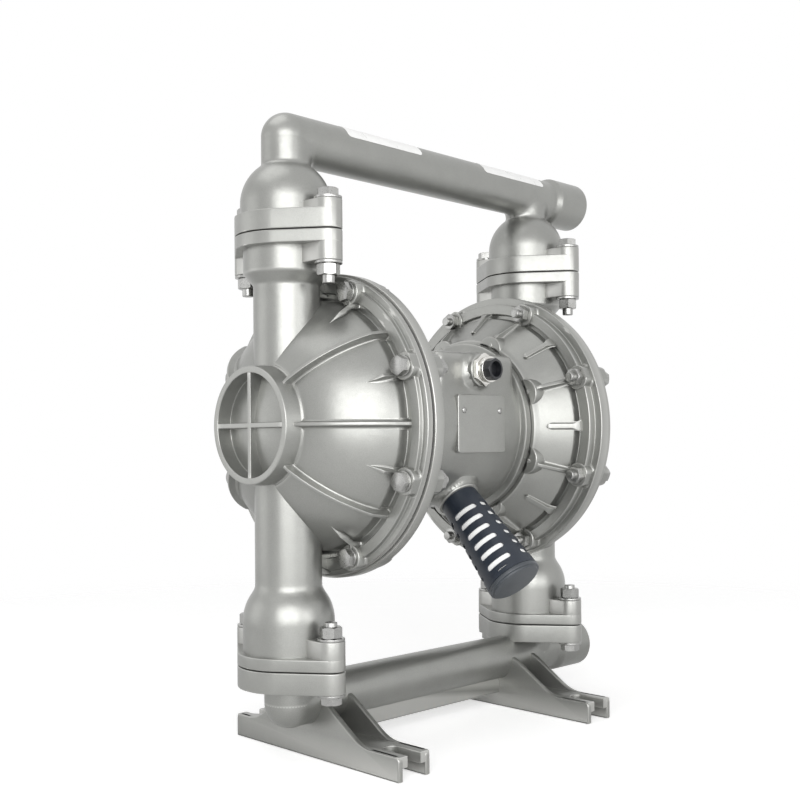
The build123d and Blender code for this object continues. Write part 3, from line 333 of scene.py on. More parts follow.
def reach_out(field, start, way, far, steps=24, near=0.0):
    """Distance at which each ray leaves a body.

    Equal steps along the ray until the field turns positive, then halving
    between the last two; a ray that never leaves gets the far distance.
    """
    inside = np.full(start.shape[:-1], near)
    outside = np.full(start.shape[:-1], float(far))
    left = np.zeros(start.shape[:-1], bool)
    for step in np.linspace(near, far, steps + 1)[1:]:
        out = field(*np.moveaxis(start + way * step, -1, 0)) > 0
        outside[out & ~left] = step
        left |= out
        inside[~left] = step
    for _ in range(11):
        middle = (inside + outside) / 2
        out = field(*np.moveaxis(start + way * middle[..., None], -1, 0)) > 0
        outside = np.where(out, middle, outside)
        inside = np.where(out, inside, middle)
    return np.where(left, (inside + outside) / 2, far)


# Meshes


def shell(points, wrap_rows=False):
    """Corners and quads of a grid of points: columns always close on themselves, rows where asked."""
    rows, columns = points.shape[:2]
    index = np.arange(rows * columns).reshape(rows, columns)
    lower = index if wrap_rows else index[:-1]
    upper = np.roll(index, -1, 0) if wrap_rows else index[1:]
    quads = np.stack([lower, np.roll(lower, -1, 1), np.roll(upper, -1, 1), upper], -1)
    return points.reshape(-1, 3), quads.reshape(-1, 4)


def mirrored(parts, side):
    """The same shells on the other side of X = 0 where side is -1."""
    return [(corners * np.array([side, 1.0, 1.0]), *faces) for corners, *faces in parts]


def piece(name, shells, finish, body, *replaced, sharp=38.0):
    """One object from closed shells, in metres: doubles merged, normals outwards, smooth below an angle."""
    offset = 0
    corners, faces = [], []
    for points, quads, *flats in shells:
        corners.append(points)
        faces += (quads + offset).tolist()
        faces += [(np.array(flat) + offset).tolist() for flat in (flats[0] if flats else [])]
        offset += len(points)
    mesh = bpy.data.meshes.new(name)
    mesh.from_pydata((np.concatenate(corners) * mm).tolist(), [], faces)
    tidy = bmesh.new()
    tidy.from_mesh(mesh)
    bmesh.ops.remove_doubles(tidy, verts=tidy.verts, dist=2e-6)
    bmesh.ops.dissolve_degenerate(tidy, edges=tidy.edges, dist=1e-7)
    bmesh.ops.recalc_face_normals(tidy, faces=tidy.faces)
    tidy.to_mesh(mesh)
    tidy.free()
    mesh.polygons.foreach_set("use_smooth", np.ones(len(mesh.polygons), bool))
    mesh.set_sharp_from_angle(angle=math.radians(sharp))
    mesh.materials.append(finishes[finish])
    thing = bpy.data.objects.new(name, mesh)
    bpy.context.scene.collection.objects.link(thing)
    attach(thing, body)
    if replaced:
        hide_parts(*replaced)
    return thing


def even_turns(count):
    """Equal angles once round."""
    return np.linspace(0.0, 2 * math.pi, count, endpoint=False)


def across(axis):
    """Two directions at right angles to an axis and to each other."""
    u = np.array((0.0, 1.0, 0.0)) if abs(axis[1]) < 0.5 else np.array((1.0, 0.0, 0.0))
    return u, np.cross(axis, u)


def lathe(profile, centre, axis, count=96):
    """Profile of (along, radius) pairs turned about an axis: centre + a axis + r (u cos t + v sin t)."""
    along, radius = np.array(profile, float).T
    axis = np.array(axis, float) / np.linalg.norm(axis)
    u = np.cross(axis, (0.0, 0.0, 1.0) if abs(axis[2]) < 0.9 else (1.0, 0.0, 0.0))
    u = u / np.linalg.norm(u)
    v = np.cross(axis, u)
    t = even_turns(count)
    ring = np.cos(t)[:, None] * u + np.sin(t)[:, None] * v
    points = np.array(centre, float) + along[:, None, None] * axis + radius[:, None, None] * ring
    return shell(points)


def ring_shell(profile, spot, way, count=64):
    """A closed outline of (along, radius) pairs turned into a ring."""
    points, _ = lathe(profile, spot, way, count)
    return shell(points.reshape(len(profile), count, 3), wrap_rows=True)


def corner_curve(before, at, after, radius, count):
    """Quadratic curve in place of a corner, from a radius before it to a radius after it."""
    back, on = before - at, after - at
    r = min(radius, np.linalg.norm(back) / 2.01, np.linalg.norm(on) / 2.01)
    first = at + back / np.linalg.norm(back) * r
    last = at + on / np.linalg.norm(on) * r
    t = np.linspace(0.0, 1.0, count + 1)[:, None]
    return (1 - t) ** 2 * first + 2 * t * (1 - t) * at + t * t * last


def rounded(corners, radius=1.0, count=4):
    """An outline of (a, b) pairs with its inner corners rounded by one radius."""
    corners = np.array(corners, float)
    curves = [corner_curve(*three, radius, count) for three in zip(corners[:-2], corners[1:-1], corners[2:])]
    return np.concatenate([corners[:1], *curves, corners[-1:]])


def closed_outline(corners, radii, count=5):
    """A closed outline of (a, b) pairs with each corner rounded by its own radius."""
    corners = np.array(corners, float)
    around = zip(np.roll(corners, 1, 0), corners, np.roll(corners, -1, 0), radii)
    return np.concatenate([corner_curve(*each, count) for each in around])


def spaced(*stops):
    """Values from (stop, step) pairs: from each stop to the next in about equal steps of the size given."""
    values = [np.array([stops[0][0]])]
    for (start, step), (end, _) in zip(stops[:-1], stops[1:]):
        count = max(1, round(abs(end - start) / step))
        values.append(np.linspace(start, end, count + 1)[1:])
    return np.concatenate(values)


def outline_shell(outline, low, high, edge, frame_axes, steps=4):
    """A plate from a closed outline: rows of it moved in along its own normals by a quarter-round edge.

    The outline is (a, b) pairs, anticlockwise; frame_axes give the origin and the
    directions of a, b and the thickness. Both faces are single flat polygons.
    """
    outline = np.array(outline, float)
    ahead = np.roll(outline, -1, 0) - outline
    behind = outline - np.roll(outline, 1, 0)
    ahead = ahead / np.linalg.norm(ahead, axis=1)[:, None]
    behind = behind / np.linalg.norm(behind, axis=1)[:, None]
    tangent = ahead + behind
    tangent = tangent / np.linalg.norm(tangent, axis=1)[:, None]
    inward = np.stack([-tangent[:, 1], tangent[:, 0]], -1)
    inward = inward / np.clip(np.sum(tangent * ahead, 1), 0.6, 1.0)[:, None]
    t = np.linspace(0.0, math.pi / 2, steps + 1)
    inset = np.concatenate([edge * (1 - np.sin(t)), edge * (1 - np.cos(t))])
    height = np.concatenate([low + edge * (1 - np.cos(t)), high - edge * (1 - np.sin(t))])
    origin, a, b, c = (np.array(v, float) for v in frame_axes)
    flat = outline[None] + inset[:, None, None] * inward[None]
    points = origin + flat[..., :1] * a + flat[..., 1:] * b + height[:, None, None] * c
    corners, quads = shell(points)
    count = len(outline)
    return corners, quads, [list(range(count)), list(range(len(corners) - count, len(corners)))]


def upright_axes(z):
    """Frame axes of an upright plate that faces the front: along X, up Z, thickness towards -Y."""
    return (0.0, 0.0, z), (1.0, 0.0, 0.0), (0.0, 0.0, 1.0), (0.0, -1.0, 0.0)


def around_shaft(radii, angles, x):
    """Points at X, radius and angle round the shaft line: (x, r cos a, shaft_z + r sin a)."""
    spots = x, radii * np.cos(angles), shaft_z + radii * np.sin(angles)
    return np.stack(np.broadcast_arrays(*spots), -1)


# Fluid cap: the chamber


chamber_reach = 80.0
chamber_hollow = np.array([(120.0, 147.0), (114.0, 155.0), (106.0, 168.0), (91.0, 180.5), (72.0, 191.5),
                           (52.0, 200.0), (30.0, 206.0), (0.0, 207.0)])
chamber_turns = 256
dome_arc = ((60.0, 213.5), (96.0, 193.0), (124.0, 154.2))
rib_arc = ((60.7, 222.4), (97.0, 202.4), (128.4, 165.1))
dome_edge_r = 124.0
rib_end_r = 128.4


def dome_height(r):
    """X of the dome over the radius: an arc, a steep skirt, then the flat rim."""
    arc = arc_height(dome_arc, np.clip(r, end_ring_r, dome_edge_r))
    skirt = arc - np.clip(r - dome_edge_r, 0.0, None) * 9.0
    return np.maximum(skirt, cap_edge_x - 2.0)


def rim_field(x, r, outer, edge_x, rim_x):
    """Flat clamp rim with its raised ridge; x counts outwards from the joint face."""
    rim = soft_max(r - outer, x - edge_x, 1.2)
    ridge = soft_max(np.abs(r - (rim_in_r + rim_out_r) / 2) - (rim_out_r - rim_in_r) / 2, x - rim_x, 1.4)
    return soft_min(rim, ridge, 1.4)


def chamber_field(x, y, z):
    """Fluid chamber, all round the same: dome, rim and raised ridge. Ribs, fins and bosses are shells."""
    r = np.hypot(y, z - shaft_z)
    arc = (x - arc_height(dome_arc, np.clip(r, end_ring_r, dome_edge_r + 4.0))) * 0.6
    dome = soft_max(arc, r - dome_edge_r, 0.8)
    return soft_min(dome, rim_field(x, r, cap_rim_r, cap_edge_x, cap_rim_x), 1.6)


def column_field(x, y, z):
    """Column with its conical collar on top and its round ball cage below, about the vertical axis."""
    rho = np.hypot(x - column_x, y)
    collar_z = cap_top_z - collar_h
    slope = np.clip((z - collar_z + cap_cone_h) / cap_cone_h, 0.0, 1.0)
    pipe = (rho - column_r - (collar_r - column_r) * slope) * 0.8
    ball = np.hypot(rho, np.maximum(z - dome_low_z, 0.0)) - dome_r
    return soft_min(pipe, ball, 3.0)


def dip(mine, other):
    """How far a skin sinks where the other body is nearer, so that the other's own skin shows there."""
    return np.clip(0.2 * (mine - other), 0.0, 0.8)


def chamber_shell():
    """Outer skin from rays along X over radii and angles, then rim edge and the hollow chamber behind."""
    radii = spaced((0.0, 14.0), (42.0, 4.0), (58.0, 1.6), (120.0, 0.8), (123.2, 0.25), (126.5, 0.6),
                   (130.5, 0.3), (134.0, 0.9), (141.5, 0.3), (145.0, 0.9), (147.6, 0.3),
                   (cap_rim_r - 0.02, 1.0))
    angles = even_turns(chamber_turns)
    start = around_shaft(radii[:, None], angles, cap_face_x + 1.0)
    way = np.array([1.0, 0.0, 0.0])
    skin = start + way * reach_out(chamber_field, start, way, chamber_reach, 38)[..., None]
    skin[..., 0] = np.minimum(skin[..., 0], 208.0 + 12.0 * ease(radii, 50.0, 70.0)[:, None])
    edge = np.array([(cap_rim_r, cap_edge_x - 1.2), (cap_rim_r, seam_high_x + 0.3),
                     (cap_rim_r - 0.3, seam_high_x), (120.0, seam_high_x)])
    back = np.concatenate([edge, chamber_hollow])
    behind = around_shaft(back[:, :1], angles, back[:, 1:])
    return shell(np.concatenate([skin, behind]))


def rib_shell(path, tops, bases, half_top, half_foot, root=3.0, round_top=0.8, steps=5):
    """A rib along a path over the YZ plane, from its bases up to its tops, given as X.

    Section at each station: a quarter-round root from (0, foot + root) to
    (root, foot), a straight side up to the top's half width, and a quarter-round
    top edge. Both ends close in a flat face.
    """
    path, tops, bases = np.array(path, float), np.array(tops, float), np.array(bases, float)
    ahead = np.gradient(path, axis=0)
    ahead = ahead / np.linalg.norm(ahead, axis=1)[:, None]
    across = np.stack([-ahead[:, 1], ahead[:, 0]], -1)
    tall = np.maximum(tops - bases, 0.05)[:, None]
    low = np.minimum(root, 0.5 * tall)
    high = np.minimum(round_top, 0.3 * tall)
    t = np.linspace(0.0, math.pi / 2, steps)
    height = np.concatenate([low * (1 - np.cos(t)), tall - high * (1 - np.sin(t))], 1)
    half = np.concatenate([half_foot + low * (1 - np.sin(t)), half_top - high * (1 - np.cos(t))], 1)
    height = np.concatenate([height, height[:, ::-1]], 1)
    lateral = np.concatenate([half, -half[:, ::-1]], 1)
    points = np.stack([
        bases[:, None] + height,
        path[:, :1] + lateral * across[:, :1],
        shaft_z + path[:, 1:] + lateral * across[:, 1:],
    ], -1)
    first = 0 * points[:1] + points[0].mean(0)
    last = 0 * points[:1] + points[-1].mean(0)
    return shell(np.concatenate([first, points, last]))


def turned_about(parts, across_y=1, across_z=1):
    """The same shells mirrored across the shaft's vertical or horizontal plane where a sign is -1."""
    flip = np.array([1.0, across_y, across_z])
    middle = np.array([0.0, 0.0, shaft_z])
    return [((corners - middle) * flip + middle, *faces) for corners, *faces in parts]


def cap_rib_shells():
    """Six long ribs from the end ring to the ridge, and a short fin beside each clamp boss."""
    r = spaced((56.0, 2.0), (96.0, 1.0), (rib_end_r, 0.4), (133.0, 1.0))
    tops = arc_height(rib_arc, np.clip(r, 0.0, rib_end_r)) - np.clip(r - rib_end_r, 0.0, None) * 3.9
    bases = np.maximum(dome_height(r), cap_edge_x) - 0.3
    level = [rib_shell(np.stack([r, 0 * r], -1), tops, bases, 1.6, 2.4)]
    slant = np.array([(56.0, 40.9, 38.2), (60.0, 43.6, 41.2), (129.0, 97.5, 84.5), (133.0, 100.6, 87.0)])
    path = np.stack([np.interp(r, slant[:, 0], slant[:, 1]), np.interp(r, slant[:, 0], slant[:, 2])], -1)
    lean = [rib_shell(path, tops, bases, 1.6, 2.4)]
    fins = []
    for line in (((104.2, 37.8, 177.2), (116.5, 44.2, 167.4), (119.6, 46.6, 153.4), (123.5, 50.0, 152.4)),
                 ((54.0, 94.0, 179.4), (56.4, 107.0, 168.4), (55.6, 115.0, 155.5), (54.0, 122.0, 152.4))):
        y, z, top = np.array(line, float).T
        share = spaced((0.0, 0.05), (1.0, 0.08), (3.0, 1.0))
        way = np.stack([np.interp(share, range(4), y), np.interp(share, range(4), z)], -1)
        under = np.maximum(dome_height(np.hypot(*way.T)), cap_edge_x) - 0.3
        crest = np.maximum(np.interp(share, range(4), top), under + 0.05)
        width = 0.4 + 1.1 * ease(share, 0.0, 0.8)[:, None]
        foot = width + 0.8 * ease(share, 0.0, 1.0)[:, None] + 2.2 * ease(share, 1.0, 3.0)[:, None]
        fins.append(rib_shell(way, crest, under, width, foot, 2.4, 0.7))
    shells = level + turned_about(level, -1)
    for part in (lean, fins[:1], fins[1:]):
        for across_y in (1, -1):
            for across_z in (1, -1):
                shells += turned_about(part, across_y, across_z)
    return shells


def limb_shell(origin, axis, stations, field, other, blend, far, near=0.0, count=112, fade=None,
               bury=(0.0, 0.0)):
    """Skin round an axis: rays outwards at each station and angle.

    Where another body joins, the skin rises into the fillet by at most the blend,
    so that it never runs far into that body. A fade gives the blend over Z. Over
    its first and last 6 mm it sinks by the two depths in bury, under that body.
    Both ends close in a disc.
    """
    origin, axis = np.array(origin, float), np.array(axis, float)
    u, v = across(axis)
    turn = even_turns(count)
    way = (np.cos(turn)[:, None] * u + np.sin(turn)[:, None] * v)[None]
    stations = np.array(stations, float)
    start = origin + stations[:, None, None] * axis + 0.0 * way

    def both(px, py, pz):
        """The body and the one that it joins, with the fillet between them."""
        return soft_min(field(px, py, pz), other(px, py, pz), fade(pz) if fade else blend)

    reach = reach_out(field, start, way, far, 20, near)
    if other:
        reach = np.minimum(reach_out(both, start, way, far + blend, 22, near), reach + blend)
        at = np.moveaxis(start + way * reach[..., None], -1, 0)
        reach = reach - dip(field(*at), other(*at))
    sunk = bury[0] * (1 - ease(stations, stations[0], stations[0] + 6.0))
    sunk = sunk + bury[1] * ease(stations, stations[-1] - 6.0, stations[-1])
    reach = reach - sunk[:, None]
    skin = start + way * reach[..., None]
    first = origin + stations[0] * axis + 0.0 * way
    last = origin + stations[-1] * axis + 0.0 * way
    return shell(np.concatenate([first, skin, last]))


def column_shell():
    """The column between its joint faces, its back kept inside the wall of the hollow chamber."""
    heights = spaced((cap_low_z, 6.0), (cap_low_z + 12.0, 3.5), (190.0, 4.0), (455.0, 1.6), (475.0, 6.0),
                     (cap_top_z, 1.0))
    corners, quads = limb_shell((column_x, 0.0, 0.0), (0.0, 0.0, 1.0), heights, column_field, None, 0.0,
                                dome_r + 1.0, 20.0)
    r = np.hypot(corners[:, 1], corners[:, 2] - shaft_z)
    wall_x = np.interp(r, chamber_hollow[::-1, 0], chamber_hollow[::-1, 1] + 1.5, right=0.0)
    corners[:, 0] = np.maximum(corners[:, 0], wall_x)
    return corners, quads


end_floor = np.array([(0.0, 226.4), (10.0, 226.0), (22.0, 224.4), (34.0, 221.4), (45.0, 218.0),
                      (50.2, 216.6)])
bar_top_x = end_lip_x - 0.6


def end_ring_shell():
    """The sunk end ring, turned: crowned floor, rounded lip and a flare at its foot."""
    lip = rounded([(218.0, 45.0), (217.0, end_lip_r - 0.6), (end_lip_x, end_lip_r),
                   (end_lip_x, end_ring_r - 0.2), (214.5, end_ring_r + 1.0), (209.0, 64.5)], 1.2, 5)
    profile = np.concatenate([end_floor[:4, ::-1], lip, [(203.0, 64.5), (206.0, 0.0)]])
    return lathe(profile, (0.0, 0.0, shaft_z), (1.0, 0.0, 0.0), 144)


def ring_bar_shells():
    """The two bars that cross in the end ring, with flat tops almost flush with its lip."""
    half = end_floor[-1, 0]
    along = np.linspace(-half, half, 33)
    foot = np.interp(np.abs(along), *end_floor.T) - 1.0
    level, upright = np.stack([along, 0 * along], -1), np.stack([0 * along, along], -1)
    return [rib_shell(path, np.full(33, top), foot, 2.3, 2.8, 1.4, 0.6)
            for path, top in ((level, bar_top_x), (upright, bar_top_x - 0.02))]


def oval_field(x, y):
    """Distance to the hull of the flange's core circle and its two boss circles."""
    px, py = np.abs(x - column_x), np.abs(y)
    lean = (flange_core_r - flange_boss_r) / flange_bolt_y
    side = math.sqrt(1.0 - lean * lean)
    along = -lean * px + side * py
    core = np.hypot(px, py) - flange_core_r
    boss = np.hypot(px, py - flange_bolt_y) - flange_boss_r
    flank = side * px + lean * py - flange_core_r
    return np.where(along < 0, core, np.where(along > side * flange_bolt_y, boss, flank))


def flange_shell(low_z, high_z, edge=1.2, count=160):
    """Oval plate: the oval outline shrunk by a rounded edge profile, from the lower to the upper face."""
    turn = even_turns(count)
    way = np.stack([np.cos(turn), np.sin(turn), np.zeros(count)], -1)
    start = np.broadcast_to(np.array([column_x, 0.0, 0.0]), way.shape)
    outline = reach_out(lambda *at: oval_field(at[0], at[1]), start, way, 80.0, 16, 40.0)
    section = rounded([(low_z, 30.0), (low_z, 0.0), (high_z, 0.0), (high_z, 30.0)], edge, 5)
    section = np.concatenate([[(low_z, 999.0)], section, [(high_z, 999.0)]])
    inset = section[:, 1][:, None]
    radius = np.clip(outline[None] - inset, 0.0, None)
    points = start[None] + way[None] * radius[..., None]
    points[..., 2] = section[:, 0][:, None]
    return shell(points)


def boss_shell(x, y, low_z, high_z, inner=26.0):
    """Bolt boss: a slab from the column to a round end about the bolt, flush with the plate's outline."""
    t = np.linspace(0.0, math.pi, 21)
    radius = flange_boss_r - 0.1
    out = math.copysign(1.0, y)
    arc = np.stack([radius * np.cos(t), out * y + radius * np.sin(t)], -1)
    outline = np.concatenate([[(radius, inner)], arc, [(-radius, inner)]])
    return outline_shell(outline, low_z, high_z, 1.0, ((x, 0, 0), (1, 0, 0), (0, out, 0), (0, 0, 1)))


def hex_shell(spot, way, flat, root, end, bore=0.0, both=False, turn=0.0, sides=6, count=72):
    """Hexagon head or nut along an axis: radius = flat / (2 cos a), cut by a cone at each chamfered end.

    The end face drops as the corners reach past the cone, so the chamfer shows
    as curved arcs on the six sides, as on a real head.
    """
    a = even_turns(count)
    edge = flat / 2 / np.cos(a % (2 * math.pi / sides) - math.pi / sides)
    cone = flat / 2 * 0.97
    drop = np.clip(edge - cone, 0.0, None) * math.tan(math.radians(30.0))
    inner = np.full(count, bore)
    flush = np.minimum(edge, cone)
    low, high = np.full(count, float(root)), np.full(count, float(end))
    rows = [(low, inner), (low, flush if both else edge), (low + drop if both else low, edge),
            (high - drop, edge), (high, flush), (high, inner)]
    axis = np.array(way, float)
    u, v = across(axis)
    ring = np.cos(a + turn)[:, None] * u + np.sin(a + turn)[:, None] * v
    points = np.stack([
        np.array(spot, float) + along[:, None] * axis + radius[:, None] * ring for along, radius in rows
    ])
    return shell(points, wrap_rows=bool(bore))


def washer_shell(spot, way, outer, inner, thick):
    """Washer: a flat ring with slightly rounded rims."""
    profile = rounded([(0.0, inner), (0.0, outer), (thick, outer), (thick, inner)], 0.4, 3)
    return ring_shell(profile, spot, way, 48)


def clamp_spots():
    """Places of the eight clamp bolts in the YZ plane."""
    a = bolt_first + bolt_step * np.arange(8)
    return np.stack([clamp_bolt_r * np.cos(a), shaft_z + clamp_bolt_r * np.sin(a)], -1)


def clamp_boss_shell(y, z, root_x, end_x, flare=2.5):
    """Round boss under a clamp bolt, with a flare at its foot and a side cut flush with the rim."""
    t = np.linspace(0.0, math.pi / 2, 6)
    foot = np.stack([flare * (1 - np.cos(t)), clamp_boss_r + flare * (1 - np.sin(t))], 1)
    tall = abs(end_x - root_x)
    top = rounded([(flare + 0.3, clamp_boss_r), (tall, clamp_boss_r), (tall, 8.0)], 1.2, 4)
    profile = np.concatenate([[(-3.0, 0.0), (-3.0, clamp_boss_r + flare)], foot, top, [(tall, 0.0)]])
    corners, quads = lathe(profile, (root_x, y, z), (math.copysign(1.0, end_x - root_x), 0.0, 0.0), 48)
    out = np.hypot(corners[:, 1], corners[:, 2] - shaft_z)
    pull = np.minimum(1.0, (cap_rim_r - 0.4) / out)
    corners[:, 1] *= pull
    corners[:, 2] = shaft_z + (corners[:, 2] - shaft_z) * pull
    return corners, quads


def fluid_cap_shells():
    """All shells of the right fluid cap."""
    low_plate = cap_low_z + 11.5
    top_plate = cap_top_z - 12.0
    shells = [chamber_shell(), column_shell(), end_ring_shell()] + ring_bar_shells() + cap_rib_shells()
    for y, z in clamp_spots():
        shells.append(clamp_boss_shell(y, z, cap_edge_x, cap_boss_x))
    for low_z, high_z in ((-147.0, -126.0), (126.0, 147.0)):
        web = closed_outline([(140.0, low_z), (178.0, low_z), (178.0, high_z), (140.0, high_z)], [1.0] * 4)
        shells.append(outline_shell(web, -13.0, 13.0, 1.5, upright_axes(shaft_z)))
    shells.append(flange_shell(cap_low_z, low_plate))
    shells.append(flange_shell(top_plate, cap_top_z))
    for y in (-flange_bolt_y, flange_bolt_y):
        shells.append(boss_shell(column_x, y, cap_low_z + 2.0, cap_low_z + flange_boss_h))
        shells.append(boss_shell(column_x, y, cap_top_z - flange_boss_h - 1.0, cap_top_z - 2.0))
    return shells


right_cap = fluid_cap_shells()
for side, label in ((-1, "left"), (1, "right")):
    piece("fluid_cap_casting_" + label, mirrored(right_cap, side), "cast_aluminium", "housing",
          "fluid_cap_" + label)


# Air chamber: the dish behind each clamp rim, seen from the middle of the pump


dish_edge_r = 126.4
hub_edge_r = 99.0
dish_start_r = 102.0
dish_start_x = 79.0
dish_step_slope = 5.0 / 3.0
dish_slope = 29.0 / 24.0


def dish_height(r):
    """X of the dish's back over the radius: the hub face, a short steep step, then the slope to the rim."""
    step = hub_x + (r - hub_edge_r) * dish_step_slope
    slope = dish_start_x + (r - dish_start_r) * dish_slope
    return np.where(r < hub_edge_r, hub_x, np.where(r < dish_start_r, step, slope))


def dish_field(x, y, z):
    """Air chamber from the back, all round the same: hub, dish, flat rim and raised ridge."""
    r = np.hypot(y, z - shaft_z)
    dish = soft_max((dish_height(r) - x) * 0.65, r - dish_edge_r, 1.0)
    floor = soft_max(r - 133.0, 119.0 - x, 1.0)
    rim = rim_field(-x, r, chamber_rim_r, -air_edge_x, -air_ridge_x)
    return soft_min(soft_min(dish, floor, 1.5), rim, 1.6)


def dish_shell():
    """Outer skin from rays towards the middle over radii and angles, then the rim's edge and the hollow."""
    radii = spaced((50.0, 10.0), (96.0, 1.0), (104.0, 1.6), (125.4, 0.25), (127.4, 0.9), (130.6, 0.3),
                   (133.2, 1.0), (142.0, 0.3), (144.6, 1.0), (150.0, 0.3), (chamber_rim_r - 0.02, 1.0))
    angles = even_turns(chamber_turns)
    inside = [(50.0, 85.0), (88.0, 85.0), (113.0, 103.0), (121.0, 116.0), (124.0, 133.0), (160.0, 133.0)]
    deep = np.interp(radii, *np.array(inside).T)
    start = around_shaft(radii[:, None], angles, deep[:, None])
    way = np.array([-1.0, 0.0, 0.0])
    skin = start + way * reach_out(dish_field, start, way, 66.0, 30)[..., None]
    skin[..., 0] = np.maximum(skin[..., 0], hub_x)
    back = np.array([(chamber_rim_r, air_edge_x + 1.2), (chamber_rim_r, seam_low_x - 0.4),
                     (chamber_rim_r - 0.4, seam_low_x), (122.0, seam_low_x), (122.0, 124.0), (119.0, 114.5),
                     (113.0, 104.0), (102.0, 94.0), (88.0, 86.0), (50.0, 86.0)])
    behind = around_shaft(back[:, :1], angles, back[:, 1:])
    return shell(np.concatenate([skin, behind]), wrap_rows=True)


bar_start_r = 108.6
bar_half_w = 2.6
bar_end_r = 133.0


def dish_rib_shells():
    """Eight ribs from the hub to the clamp bosses, and eight bars with round tips between them."""
    shells = []
    run = spaced((93.0, 1.0), (129.0, 1.0))
    under = np.minimum(dish_height(run) + 0.3, 118.0)
    crest = np.interp(run, [93.0, 98.0, 106.0, 112.0, 127.0, 129.0], [75.5, 72.6, 75.2, 80.0, 103.0, 112.5])
    tip_r = bar_start_r + bar_half_w
    nose = bar_start_r + bar_half_w * (1 - np.cos(np.linspace(0.02, 1.57, 7)))
    bar = np.concatenate([nose, spaced((tip_r + 0.3, 0.8), (bar_end_r, 1.0))])
    bar_under = np.minimum(dish_height(bar) + 0.3, 119.0)
    bar_crest = np.interp(bar, [bar_start_r, tip_r, 131.0, bar_end_r], [84.0, 85.6, 107.2, 112.0])
    bar_crest = np.minimum(bar_crest, bar_under - 0.1)
    behind = (tip_r - np.minimum(bar, tip_r)) / bar_half_w
    width = bar_half_w * np.sqrt(np.clip(1.0 - behind ** 2, 0.0, 1.0))
    width = (width + 2.6 * ease(bar, 126.0, bar_end_r) ** 2)[:, None]
    for spoke in bolt_step * np.arange(8):
        ray = np.array([math.cos(spoke + bolt_first), math.sin(spoke + bolt_first)])
        shells.append(rib_shell(run[:, None] * ray, -crest, -under, 1.7, 2.4, 3.0, 0.7))
        ray = np.array([math.cos(spoke), math.sin(spoke)])
        shells.append(rib_shell(bar[:, None] * ray, -bar_crest, -bar_under, width, width + 0.5, 1.6, 0.5))
    return mirrored(shells, -1)


def hub_lobe_shell(angle, radius, at, root_x, end_x):
    """Round lobe of the hub at an angle, from the dish to the hub face."""
    y, z = at * math.cos(angle), shaft_z + at * math.sin(angle)
    tall = abs(end_x - root_x)
    side = rounded([(0.0, radius + 2.0), (4.0, radius + 0.8), (tall, radius), (tall, radius - 4.0)], 1.2, 4)
    profile = np.concatenate([[(0.0, 0.0)], side, [(tall, 0.0)]])
    return lathe(profile, (root_x, y, z), (math.copysign(1.0, end_x - root_x), 0.0, 0.0), 56)


def air_chamber_shells():
    """All shells of the right air chamber."""
    shells = [dish_shell()] + dish_rib_shells()
    for angle in bolt_first + bolt_step * np.arange(8):
        shells.append(hub_lobe_shell(angle, 16.5, 92.0, hub_x + 16.0, hub_x))
    for y, z in clamp_spots():
        shells.append(clamp_boss_shell(y, z, air_edge_x, air_boss_x))
    return shells


right_chamber = air_chamber_shells()
for side, label in ((-1, "left"), (1, "right")):
    piece("air_chamber_casting_" + label, mirrored(right_chamber, side), "cast_aluminium", "housing",
          "air_chamber_" + label)


# Clamp bolts, nuts and washers


def shank_shell(head, way, length, radius, edge=1.2):
    """Plain shank of a bolt from its rounded end up to the underside of its head."""
    side = rounded([(-length, 0.0), (-length, radius), (0.0, radius)], edge, 3)
    return lathe(np.concatenate([side, [(0.0, 0.0)]]), head, way, 32)


def clamp_hardware(side):
    """Heads, shanks, nuts and washers of one side's eight clamp bolts, as three groups of shells."""
    bolts, nuts, washers = [], [], []
    head_x = cap_boss_x + clamp_washer_t
    out, back = (float(side), 0.0, 0.0), (-float(side), 0.0, 0.0)
    for i, (y, z) in enumerate(clamp_spots()):
        head = (side * head_x, y, z)
        bolts.append(hex_shell(head, out, clamp_bolt_flats, 0.0, 6.4, turn=0.5 + 0.37 * i))
        bolts.append(shank_shell(head, out, clamp_bolt_l, clamp_shank_r, 1.0))
        nuts.append(hex_shell((side * air_boss_x, y, z), back, clamp_bolt_flats, 0.0, 8.4,
                              bore=clamp_shank_r, both=True, turn=0.9 - 0.29 * i))
        washers.append(washer_shell((side * cap_boss_x, y, z), out, 10.0, clamp_shank_r + 0.2,
                                    clamp_washer_t))
    return bolts, nuts, washers


for side, label in ((-1, "left"), (1, "right")):
    bolts, nuts, washers = clamp_hardware(side)
    piece("clamp_bolt_set_" + label, bolts, "stainless", "housing", "clamp_bolts_" + label)
    piece("clamp_nut_set_" + label, nuts, "stainless", "housing", "clamp_nuts_" + label)
    piece("clamp_washer_set_" + label, washers, "stainless", "housing", "clamp_washers_" + label)


# Manifolds


port_cone_x = port_x - 57.0
port_collar_x = port_x - 48.0
collar_out_r = 28.5
tube_r = 24.0
neck_top_r = 24.0
neck_low_r = 24.5
elbow_gap = 14.0
leg_blend = 7.0
thread_pitch = 2.309
thread_r = 22.4
thread_l = 26.0
tube_bore_r = 18.0


def tube_radius(x):
    """Radius of a manifold tube over X: the plain run, then the cone and collar of the port."""
    return tube_r + (collar_out_r - tube_r) * ease(x, port_cone_x, port_collar_x + 1.0)


def tube_field(x, y, z, tube_z, short=0.0):
    """A manifold tube with its round closed end, which may stop short of the left leg's axis."""
    past = np.minimum(x + column_x - short, 0.0)
    return np.sqrt(past * past + y * y + (z - tube_z) ** 2) - tube_radius(x)


def leg_fade(tube_z, side):
    """Blend between a tube and its legs over Z: none beyond the tube's axis, all of it on the legs' side."""
    return lambda z: 0.02 + leg_blend * ease((tube_z - z) * side, 0.0, 2 * leg_blend)


